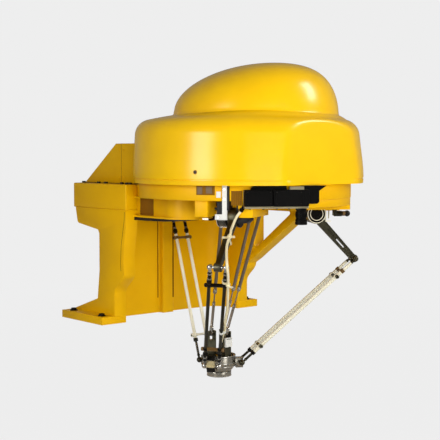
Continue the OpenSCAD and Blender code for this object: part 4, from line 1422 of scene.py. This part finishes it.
@dataclass
class Arm(Assembly):
    """One upper arm with its hub, pins and balls, and its pair of rods."""

    arm: int
    rod_finish: Finish
    socket_finish: Finish
    ball_finish: Finish
    ends: tuple[RodEnd, RodEnd]
    rod_r: float = 2.7
    ball_r: float = 3.25
    socket_r: float = 4.7
    socket_lip: float = 2.0
    sleeve_start: float = 9.0

    def build(self) -> None:
        """Build the arm, then its rods and ties."""
        self.upper_arm()
        for side in (-1, 1):
            self.rod(side)
        for end, label in enumerate(("upper", "lower")):
            self.tie(end, f"{self.name}_{label}_tie")

    @property
    def name(self) -> str:
        """Return the arm's name."""
        return ARM_NAMES[self.arm]

    def upper_arm(self) -> None:
        """The arm itself, the hub's rings and the polished balls."""
        node = f"{self.name}_upper_arm"
        self.coat(node, Finishes.ARM_ALLOY, 0.9)
        place = LINKS.at_upper(self.arm)
        hub = Solid()
        for face in both_ways(place):
            hub.lathe([(9.0, 6.2), (13.2, 6.2), (13.2, 6.75), (12.2, 6.95), (10.0, 6.95), (9.0, 6.6)],
                      face, 48, closed=True)
        self.add(f"{node}_hub_rings", hub, Finishes.WRIST_STEEL, node)
        pins = Solid()
        for pin in both_ways(place @ shift(LINKS.upper_len)):
            pins.lathe(ball_profile(self.ball_r, LINKS.rod_half), pin, 28)
            pins.lathe([(0.0, 4.8), (3.4, 4.8), (3.4, 6.6), (2.4, 7.2), (1.9, 7.6), (1.7, 10.5), (0.0, 10.5)],
                       pin, 24)
        self.add(f"{node}_balls", pins, self.ball_finish, node)

    def rod(self, side: int) -> None:
        """One rod: the bar, and at both ends the cup, the neck, the sleeve and its collar.

        Args:
            side: -1 for the inner rod, 1 for the outer.
        """
        node = f"{self.name}_rods"
        label = f"{self.name}_{'inner' if side < 0 else 'outer'}"
        place, far, r = LINKS.at_rod(self.arm, side), LINKS.rod_len, self.rod_r
        start, stop = self.ends[0].sleeve_end - 1.0, far - self.ends[1].sleeve_end + 1.0
        bar = Solid().lathe([(0.0, start), (2.3, start), (r, start + 1.0), (r, stop - 1.0), (2.3, stop),
                             (0.0, stop)], place @ ALONG_X, 20)
        self.add(f"{label}_bar", bar, self.rod_finish, node, replaces=side < 0)
        cups = Solid()
        for end, dress in enumerate(self.ends):
            turned = place if end == 0 else place @ shift(far) @ turn("Z", 180)
            self.cup(cups, turned, turned @ turn("X", -90 * side * (1 - 2 * end)))
            self.sleeve(f"{label}_{'lower' if end else 'upper'}", dress, turned @ ALONG_X, node)
        self.add(f"{label}_cups", cups, self.socket_finish, node)

    def cup(self, cups: Solid, turned: Matrix, cup: Matrix) -> None:
        """Draw a cup round the ball, open towards the arm, and the neck behind it.

        Args:
            cups: The solid that it goes into.
            turned: The axes of the rod's end, x along the rod.
            cup: The axes of the cup, z out of its closed side.
        """
        start, lip, arcs = self.sleeve_start, self.socket_lip, []
        for size in (self.socket_r, self.ball_r + 0.12):
            end = math.pi - math.acos(lip / size)
            arcs.append([(size * math.sin(end * k / 10), size * math.cos(end * k / 10)) for k in range(11)])
        cups.lathe(arcs[0] + [(self.socket_r - 0.6, -lip - 0.2)] + arcs[1][::-1], cup, 28)
        cups.lathe([(0.0, 4.2), (1.7, 4.2), (1.9, 6.4), (2.5, 7.4), (2.6, start), (2.0, start + 0.6),
                    (0.0, start + 0.6)], turned @ ALONG_X, 20)

    def sleeve(self, label: str, dress: RodEnd, along: Matrix, node: str) -> None:
        """Draw the sleeve of one rod end with its collar and light rings.

        Args:
            label: What the pieces' names start with.
            dress: How the end is dressed.
            along: The axes of the rod's end, z along the rod.
            node: The node that the pieces go with.
        """
        a, b, r = self.sleeve_start, dress.sleeve_end, dress.sleeve_r
        tube = Solid().lathe([(0.0, a), (r - 0.4, a), (r, a + 1.0), (r, b - 1.0), (r - 0.4, b), (0.0, b)],
                             along, 20)
        self.add(f"{label}_sleeve", tube, dress.sleeve, node)
        half = [(2.0, -2.8), (3.5, -2.8), (3.9, -2.2), (3.9, -0.5)]
        profile = half + [(3.6, 0.0)] + [(size, -h) for size, h in reversed(half)]
        collar = Solid().lathe([(size, dress.collar_at + h) for size, h in profile], along, 24, closed=True)
        self.add(f"{label}_collar", collar, dress.collar, node)
        if dress.rings:
            rings = [spot(along, (0, 0, h), *UPWARD) for h in dress.rings]
            self.repeat(f"{label}_rings", Repeat.RING, rings, (r + 0.1, 0.0, 0.5), Finishes.BALL_STEEL, node)

    def tie(self, end: int, label: str) -> None:
        """One tie across the rods: bar, end bosses, and a clamp ring round each rod.

        Args:
            end: 0 for the upper end of the rods, 1 for the lower.
            label: What the pieces' names start with.
        """
        node, dress = f"{self.name}_rod_ties", self.ends[end]
        at = dress.tie_at if end == 0 else LINKS.rod_len - dress.tie_at
        middle = LINKS.at_elbow(self.arm) @ Matrix.Translation(at * LINKS.radial(LINKS.splay(self.arm)))
        near, far = LINKS.rod_half - 3.4, LINKS.rod_half + 3.0
        bar = Solid().slab([(-2.2, -near), (2.2, -near), (1.6, -6.5), (1.6, 6.5), (2.2, near), (-2.2, near),
                            (-1.6, 6.5), (-1.6, -6.5)], -2.4, 2.4, middle, 0.4)
        for face in both_ways(middle):
            bar.lathe([(r, far + h) for r, h in
                       ((0.0, 0.0), (2.9, 0.0), (3.2, 0.5), (3.2, 3.4), (2.4, 4.1), (0.0, 4.1))], face, 24)
        self.add(label, bar, dress.tie, node, replaces=end == 0)
        clamps = Solid()
        for side in (-1, 1):
            clamps.lathe([(2.5, -2.4), (3.5, -2.4), (3.8, -2.0), (3.8, 2.0), (3.5, 2.4), (2.5, 2.4)],
                         LINKS.at_rod(self.arm, side) @ shift(at) @ ALONG_X, 24, closed=True)
        self.add(f"{label}_clamps", clamps, dress.tie_clamp, node)
        screws = [spot(middle, (0.0, s * (far + 4.0), 0.0), (0, s, 0), (1, 0, 0)) for s in (-1, 1)]
        self.screws(f"{label}_screws", screws, 1.2, 0.6, node)


# ---------------------------------------------------------------- wrist

@dataclass
class Wrist(Assembly):
    """Platform, forks, housing and tool flange."""

    disc_r: float = 27.0
    tool_r: float = 20.0
    tool_z: float = -21.6
    ball_r: float = 3.25

    def build(self) -> None:
        """Build the platform and all that hangs on it."""
        steel, alloy = Finishes.WRIST_STEEL, Finishes.ARM_ALLOY
        for node, radius, finish in (("platform", 0.7, steel), ("wrist_forks", 0.7, alloy),
                                     ("tool_flange", 0.6, steel), ("wrist_housing", 0.5, steel),
                                     ("shaft_hangers", 0.5, alloy)):
            self.coat(node, finish, radius)
        place = Matrix.Translation(LINKS.platform())
        self.platform_pins(place)
        self.platform_trim(place)
        self.fork_trim()
        self.tool_trim(place)

    def platform_pins(self, place: Matrix) -> None:
        """The polished balls on the platform's three lugs, and the screws of the lugs.

        Args:
            place: The level axes at the platform.
        """
        balls, screws = Solid(), []
        for arm in range(3):
            out = place @ turn("Z", LINKS.arm_dir[arm]) @ shift(LINKS.plat_r)
            for pin in both_ways(out):
                balls.lathe(ball_profile(self.ball_r, LINKS.rod_half), pin, 28)
                balls.lathe([(0.0, 6.3), (3.0, 6.3), (3.0, 7.6), (2.0, 8.2), (1.7, 10.5), (0.0, 10.5)],
                            pin, 20)
            screws += [spot(out, (3.0, s * 3.8, -4.0), (1, 0, 0)) for s in (-1, 1)]
        self.add("platform_balls", balls, Finishes.BALL_STEEL, "platform")
        self.screws("platform_lug_screws", screws, 1.3, 0.9, "platform")

    def platform_trim(self, place: Matrix) -> None:
        """The plate and block of the left lug, and the rim rings and screws of the disc.

        Args:
            place: The level axes at the platform.
        """
        front = place @ turn("Z", LINKS.arm_dir[LEFT])
        plate = Solid().block((38.2, -6.6, -1.0), (41.4, 6.6, 9.0), front, 0.6)
        plate.block((40.8, -6.9, -1.6), (42.2, 6.9, 1.2), front, 0.3)
        self.add("lug_plate", plate, Finishes.ZINC_PLATE, "platform")
        block = Solid().block((31.0, -6.8, 10.0), (40.0, 6.8, 17.0), front, 0.8)
        block.block((37.6, -6.8, -9.0), (40.6, 6.8, -1.8), front, 0.6)
        self.add("lug_block", block, Finishes.BLACK_STEEL, "platform")
        rings, r = Solid(), self.disc_r
        for z, proud in ((12.2, 0.35), (-4.4, 0.3), (1.0, 0.2)):
            rings.band(place, r - 0.6, r + proud, z - 0.5, z + 0.5, 64)
        self.add("platform_rings", rings, Finishes.BALL_STEEL, "platform")
        rim = spots_round(place, r - 1.6, 9, 13.0, first=10)
        self.screws("platform_rim_screws", rim, 1.1, 0.6, "platform")

    def fork_trim(self) -> None:
        """Joint pins, bearing caps and a bright sensor block on the forks."""
        pins, caps = [], Solid()
        for shaft in range(3):
            place = LINKS.at_shaft_low(shaft)
            pins += [spot(place, (0, s * 7.0, 0), (0, s, 0)) for s in (-1, 1)]
            for face in both_ways(place):
                caps.lathe([(1.9, 6.6), (3.4, 6.6), (3.4, 7.3), (3.0, 7.6), (1.9, 7.6)], face, 24,
                           closed=True)
        sensor = Solid().block((-14.6, -187.4, -36.6), (-1.6, -184.0, -21.6), rounding=0.7)
        sensor.block((-11.4, -188.2, -29.0), (-4.8, -187.0, -24.2), rounding=0.3)
        self.add("fork_sensor", sensor, Finishes.WHITE_SHEET, "wrist_forks")
        slots = Solid().block((-13.4, -188.0, -24.0), (-2.8, -187.3, -23.2), rounding=0.2)
        slots.block((-13.6, -185.2, -21.2), (-2.6, -183.6, -17.4), rounding=0.2)
        self.add("fork_sensor_slots", slots, Finishes.BLACK_STEEL, "wrist_forks")
        self.screws("fork_pins", pins, 1.7, 0.9, "wrist_forks")
        self.add("fork_bearing_caps", caps, Finishes.BALL_STEEL, "wrist_forks")

    def tool_trim(self, place: Matrix) -> None:
        """Grooves, screws and the centring bore of the tool flange.

        Args:
            place: The level axes at the platform.
        """
        rings = Solid().band(place, self.tool_r - 0.6, self.tool_r + 0.25, self.tool_z, self.tool_z + 1.2, 56)
        rings.band(place, 5.0, 8.5, self.tool_z - 0.9, self.tool_z, 40)
        self.add("tool_rings", rings, Finishes.BALL_STEEL, "tool_flange")
        spots = [Spot(s.at, -s.aim, s.side) for s in spots_round(place, 14.0, 4, -22.0, first=45)]
        self.screws("tool_screws", spots, 2.0, 0.8, "tool_flange")


@dataclass
class Shafts(Assembly):
    """Three telescopic drive shafts with universal joints."""

    tube_len: float = 150.0
    ring_marks: Point = (52.0, 50.0, 16.0)

    def build(self) -> None:
        """Dress the tubes and rods, and add collars, knuckles and rings."""
        for shaft, name in enumerate(SHAFT_NAMES):
            tube, rod = f"{name}_shaft_tube", f"{name}_shaft_rod"
            self.coat(tube, Finishes.SHAFT_STEEL, 0.0)
            self.coat(rod, Finishes.SHAFT_STEEL, 0.0)
            place, end = LINKS.at_shaft(shaft), self.tube_len
            top, low = LINKS.shaft_ends(shaft)
            length = (low - top).length
            collar = Solid().lathe([(1.7, end - 7), (3.0, end - 7), (3.3, end - 6), (3.3, end - 0.6),
                                    (2.9, end), (1.7, end)], place, 24, closed=True)
            collar.lathe([(0.0, 4.5), (3.6, 4.5), (3.6, 10.0), (2.9, 11.5), (0.0, 11.5)], place, 24)
            self.add(f"{name}_tube_collar", collar, Finishes.WRIST_STEEL, tube)
            knuckle = Solid().lathe([(0.0, length - 13.0), (2.4, length - 13.0), (3.3, length - 12.0),
                                     (3.3, length - 4.6), (0.0, length - 4.6)], place, 24)
            self.add(f"{name}_rod_knuckle", knuckle, Finishes.BALL_STEEL, rod)
            rings = [spot(place, (0, 0, length - h), *UPWARD) for h in self.ring_marks]
            self.repeat(f"{name}_rod_rings", Repeat.RING, rings, (2.3, 0.0, 0.35), Finishes.BALL_STEEL, rod)


# ---------------------------------------------------------------- air hose

@dataclass
class AirHose(Assembly):
    """The air hose in two runs, joined at the tie on the upper arm."""

    diameter: float = 4.0
    top_run: tuple[Point, ...] = (
        (151.2, 29.5, 196.4), (150.4, 24.0, 189.6), (149.5, 20.5, 184.9), (144.5, 14.3, 174.2),
        (138.0, 9.0, 166.0))
    mid_run: tuple[Point, ...] = (
        (40.0, 7.2, 11.0), (48.0, 6.5, 9.4), (64.5, 7.0, 9.6), (84.0, 11.0, 10.0), (98.5, 15.4, 10.0))
    low_run: tuple[Point, ...] = (
        (-5.5, 3.0, 5.6), (6.0, 4.6, 6.2), (20.0, 5.5, 5.6), (32.0, 5.8, 4.8), (57.0, 6.6, 4.4),
        (74.0, 7.2, 4.2), (90.0, 7.2, 3.8), (107.0, 6.3, 2.8), (125.0, 5.1, 1.2), (138.0, 5.0, -0.8),
        (150.0, 4.7, -2.4), (165.0, 3.2, -4.4), (180.0, 1.0, -5.5), (196.0, 0.0, -5.5))
    clip_x: float = 32.0
    band_x: float = 159.0

    def build(self) -> None:
        upper, rod = LINKS.at_upper(LEFT), LINKS.at_rod(LEFT, 1)
        top, middle, low = ([place @ Vector(p) for p in points] for place, points in (
            (LINKS.level(LEFT), self.top_run), (upper, self.mid_run), (rod, self.low_run)))
        self.run("air_hose_upper", top + middle[:2], ("root", "left_upper"), (top[2], middle[0]),
                 ("hose_top",))
        self.run("air_hose_lower", middle[1:] + low, ("left_upper", "left_lower"), (middle[-2], low[1]),
                 ("hose_middle", "hose_bottom"))
        self.upper_tie(upper)
        self.rod_ties(rod)
        # Push-in fittings where the hose starts and ends
        self.fitting("hose_inlet_fitting", top[0], top[1], [
            (0.0, -2.0), (3.0, -2.0), (3.3, -1.4), (3.3, 1.4), (2.6, 2.0), (2.6, 6.5), (0.0, 6.5)],
            "base_casting")
        self.fitting("hose_outlet_fitting", low[-1], low[-2], [
            (0.0, -4.0), (2.6, -4.0), (2.9, -3.4), (2.9, 1.6), (2.3, 2.2), (2.3, 4.0), (0.0, 4.0)],
            "left_rods")

    def run(self, name: str, through: list[Vector], bodies: tuple[str, str], turn_at: tuple[Vector, Vector],
            replaced: tuple[str, ...]) -> None:
        """Make one run of hose.

        Args:
            name: Piece name.
            through: Points that it passes, in millimetres.
            bodies: Not used.
            turn_at: Not used.
            replaced: The nodes that it stands for.
        """
        path = smooth_path(through, 6)
        tube = Solid().tube(path, self.diameter / 2)
        piece = new_piece(name, tube.mesh(name), Finishes.HOSE_PLASTIC, "", replaced)
        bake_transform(piece)

    def upper_tie(self, upper: Matrix) -> None:
        """The strap round the upper arm, with the loop that holds the hose and its loose end.

        Args:
            upper: The axes of the left upper arm.
        """
        x, y, z = self.mid_run[1]
        strap = Solid()
        outer = [(-5.6, -7.6), (5.6, -7.6), (5.6, 6.4), (3.6, 7.6), (-5.6, 7.6)]
        inner = [(-4.4, -6.4), (4.4, -6.4), (4.4, 5.8), (3.0, 6.4), (-4.4, 6.4)]
        frame = upper @ shift(x) @ turn("Z", 90) @ turn("X", 90)
        for k in range(len(outer)):
            n = (k + 1) % len(outer)
            strap.slab([outer[k], outer[n], inner[n], inner[k]], -1.7, 1.7, frame, 0.2)
        strap.band(upper @ shift(x, y, z) @ ALONG_X, 2.1, 3.5, -2.0, 2.0)
        strap.block((x - 1.2, 8.6, 7.8), (x + 1.2, 14.5, 10.2), upper, 0.4)
        self.add("upper_strap", strap, Finishes.HOSE_PLASTIC, "upper_hose_tie", replaces=True)

    def rod_ties(self, rod: Matrix) -> None:
        """The clip and the white band that hold the hose to the outer rod.

        Args:
            rod: The axes of the left arm's outer rod.
        """
        x = self.clip_x
        clip = Solid().band(rod @ shift(x) @ ALONG_X, 3.1, 4.6, -1.8, 1.8)
        clip.band(rod @ shift(x, 5.8, 4.8) @ ALONG_X, 2.1, 3.4, -1.8, 1.8)
        clip.block((x - 1.4, 6.4, 6.8), (x + 1.2, 13.0, 8.6), rod, 0.4)
        self.add("rod_strap", clip, Finishes.HOSE_PLASTIC, "lower_hose_ties", replaces=True)
        band = Solid().band(rod @ shift(self.band_x) @ ALONG_X, 2.7, 3.7, -2.0, 2.0)
        band.band(rod @ shift(self.band_x, 3.9, -3.5) @ ALONG_X, 2.1, 3.2, -1.8, 1.8)
        self.add("rod_band", band, Finishes.WHITE_SHEET, "lower_hose_ties")

    def fitting(self, name: str, end: Vector, before: Vector, profile: list[Flat], node: str) -> None:
        """Make a push-in fitting over one end of the hose.

        Args:
            name: Piece name.
            end: The end of the hose.
            before: The hose's next point.
            profile: The fitting's profile, out along the hose's end.
            node: The node that it goes with.
        """
        place = Matrix.Translation(end) @ facing((end - before).normalized())
        self.add(name, Solid().lathe(profile, place, 24), Finishes.BLACK_ANODISED, node)


# ---------------------------------------------------------------- studio

class LampUse(Enum):
    """What a lamp is for: plain light or a highlight."""

    FILL = "lights surfaces"
    GLOSS = "shows in glossy surfaces"


@dataclass
class Studio:
    """Floor, world, lamps and camera."""

    paper: str = "EEEEEE"
    camera_at: Point = (-1.1288, -1.4803, 0.2790)
    camera_azimuth: float = -40.42
    camera_elevation: float = 3.63
    lens_mm: float = 86.87
    floor_z: float = -0.12
    sky: float = 0.15
    mirrored: float = 0.2
    floor_half: float = 12.0
    floor_fade: Flat = (0.35, 1.3)

    def build(self) -> None:
        """Build the whole studio."""
        self.make_world()
        self.make_floor()
        self.make_lamps()
        self.make_camera()

    def make_world(self) -> None:
        """The paper colour: full where it is seen directly or through glass, and dim in a gloss.

        Only the sky's weak white light falls on the robot.
        """
        world = bpy.data.worlds.new("paper_sky")
        bpy.context.scene.world = world
        tree = emptied(world)
        rays = add_node(tree, "ShaderNodeLightPath")
        seen = add_node(tree, "ShaderNodeMath", {
            0: rays.outputs["Is Camera Ray"], 1: rays.outputs["Is Transmission Ray"]}, operation="MAXIMUM")
        gloss = add_node(tree, "ShaderNodeMath", {
            0: rays.outputs["Is Glossy Ray"], 1: self.mirrored}, operation="MULTIPLY")
        share = add_node(tree, "ShaderNodeMath", {
            0: seen.outputs[0], 1: gloss.outputs[0]}, operation="MAXIMUM")
        light, paper = (add_node(tree, "ShaderNodeBackground", {
            "Color": hex_to_linear(code), "Strength": strength})
            for code, strength in (("FFFFFF", self.sky), (self.paper, 1.0)))
        mix = add_node(tree, "ShaderNodeMixShader", {
            0: share.outputs[0], 1: light.outputs[0], 2: paper.outputs[0]})
        add_node(tree, "ShaderNodeOutputWorld", {"Surface": mix.outputs[0]})

    def make_floor(self) -> None:
        """A wide pale floor below the hanging wrist, which turns into the paper far out."""
        mesh = bpy.data.meshes.new("floor")
        half, (near, far_off) = self.floor_half, self.floor_fade
        corners = [(-half, -half), (half, -half), (half, half), (-half, half)]
        mesh.from_pydata([(x, y, self.floor_z) for x, y in corners], [], [(0, 1, 2, 3)])
        floor = linked("floor", mesh)
        material = bpy.data.materials.new("pale_studio_floor")
        tree = emptied(material)
        rays = add_node(tree, "ShaderNodeLightPath")
        matt = add_node(tree, "ShaderNodeBsdfDiffuse", {"Color": hex_to_linear("DADADA")})
        paper = add_node(tree, "ShaderNodeEmission", {"Color": hex_to_linear(self.paper), "Strength": 1.0})
        place = add_node(tree, "ShaderNodeTexCoord").outputs["Object"]
        run = add_node(tree, "ShaderNodeVectorMath", {0: place}, operation="LENGTH")
        far = add_node(tree, "ShaderNodeMapRange", {
            "Value": run.outputs["Value"], "From Min": near, "From Max": far_off, "To Min": 0.985,
            "To Max": 1.0})
        share = add_node(tree, "ShaderNodeMath", {
            0: rays.outputs["Is Camera Ray"], 1: far.outputs["Result"]}, operation="MULTIPLY")
        mix = add_node(tree, "ShaderNodeMixShader", {
            0: share.outputs[0], 1: matt.outputs[0], 2: paper.outputs[0]})
        add_node(tree, "ShaderNodeOutputMaterial", {"Surface": mix.outputs[0]})
        mesh.materials.append(material)

    def add_lamp(self, name: str, at: Point, aim: Point, size: Flat, power: float, use: LampUse) -> None:
        """Add one area lamp.

        Args:
            name: Lamp name.
            at: Its place.
            aim: The point it looks at.
            size: Width and height in metres.
            power: Power in watts.
            use: Whether it lights surfaces or shows in glossy ones.
        """
        data = bpy.data.lights.new(name, "AREA")
        data.shape = "RECTANGLE"
        data.size, data.size_y = size
        data.energy = power
        lamp = linked(name, data)
        lamp.location = at
        lamp.rotation_euler = (Vector(aim) - Vector(at)).to_track_quat("-Z", "Y").to_euler()
        lamp.visible_camera = False
        lamp.visible_diffuse = use is not LampUse.GLOSS
        lamp.visible_glossy = use is not LampUse.FILL

    def make_lamps(self) -> None:
        """A wide fill in front, side and rear fills, two boxes and a strip that show as highlights.

        The strip stands close before the wrist and puts one bright band on its steel.
        """
        fill, gloss = LampUse.FILL, LampUse.GLOSS
        middle, left = (0.0, -0.15, 0.2), (-0.1, -0.2, 0.26)
        for name, at, aim, size, power, use in (
                ("front_fill", (-0.72, -1.98, 0.3), middle, (1.4, 0.9), 31.0, fill),
                ("right_fill", (1.25, -1.45, 0.95), (0.0, -0.25, 0.3), (0.5, 0.6), 8.0, fill),
                ("left_fill", (-1.2, -0.35, 0.5), left, (0.42, 0.46), 3.5, fill),
                ("rear_fill", (1.0, 1.9, 0.6), middle, (1.2, 0.9), 20.0, fill),
                ("right_box", (1.05, -1.45, 1.15), (0.0, -0.3, 0.35), (0.42, 0.75), 20.0, gloss),
                ("wrist_strip", (0.0, -0.4, -0.072), (0.0, -0.19, -0.07), (0.085, 0.09), 0.05, gloss),
                ("left_box", (-1.2, -0.35, 0.36), left, (0.42, 0.5), 6.0, gloss)):
            self.add_lamp(name, at, aim, size, power, use)

    def make_camera(self) -> None:
        """The camera, level with the hood and in front of the left side."""
        data = bpy.data.cameras.new("camera")
        data.lens = self.lens_mm
        data.sensor_width = 36.0
        data.clip_start = 0.05
        data.clip_end = 100.0
        camera = linked("camera", data)
        camera.location = self.camera_at
        camera.rotation_euler = (math.radians(90 - self.camera_elevation), 0.0,
                                 math.radians(self.camera_azimuth))
        bpy.context.scene.camera = camera


def make_arms(frame: dict) -> tuple[Arm, ...]:
    """Return the three arms with the dress of their rods.

    Args:
        frame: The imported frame.

    Returns:
        The right, the left and the rear arm.
    """
    rod, dark, black, ball = Finishes.ROD_PAINTED_SHEEN, Finishes.DARK_ROD, Finishes.BLACK_STEEL, Finishes.BALL_STEEL
    brown, alloy, steel = Finishes.CLIP_BROWN, Finishes.ARM_ALLOY, Finishes.WRIST_STEEL
    bands = (13.0, 15.0, 24.0, 26.0)
    right = (RodEnd(rod, 31.0, 2.6, brown, 28.6, alloy, rod),
             RodEnd(dark, 24.0, 2.1, black, 25.5, alloy, rod))
    left = (RodEnd(black, 38.0, 2.9, black, 33.0, black, black, bands),
            RodEnd(black, 38.0, 2.9, black, 33.0, brown, black, bands, 47.0))
    rear = (RodEnd(black, 36.0, 2.6, black, 30.0, brown, brown, bands),
            RodEnd(dark, 36.0, 1.9, dark, 34.0, rod, rod, (12.0, 15.0, 18.0, 21.0, 24.0, 27.0)))
    return (Arm(frame, RIGHT, rod, alloy, steel, right, rod_r=3.2), Arm(frame, LEFT, dark, ball, ball, left),
            Arm(frame, REAR, rod, dark, ball, rear))


def main() -> None:
    """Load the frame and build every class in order."""
    logging.basicConfig(level=logging.INFO, format="%(message)s")
    for old in list(bpy.data.objects):
        bpy.data.objects.remove(old)
    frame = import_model()
    bpy.context.scene.view_settings.view_transform = "Standard"
    Studio().build()
    for part in (AirHose, Hood, Stand, Base, Camera, Brackets, Wrist, Shafts):
        part(frame).build()
    for arm in (RIGHT, LEFT, REAR):
        GearHousing(frame, arm).build()
    for arm in make_arms(frame):
        arm.build()


if __name__ == "__main__":
    main()
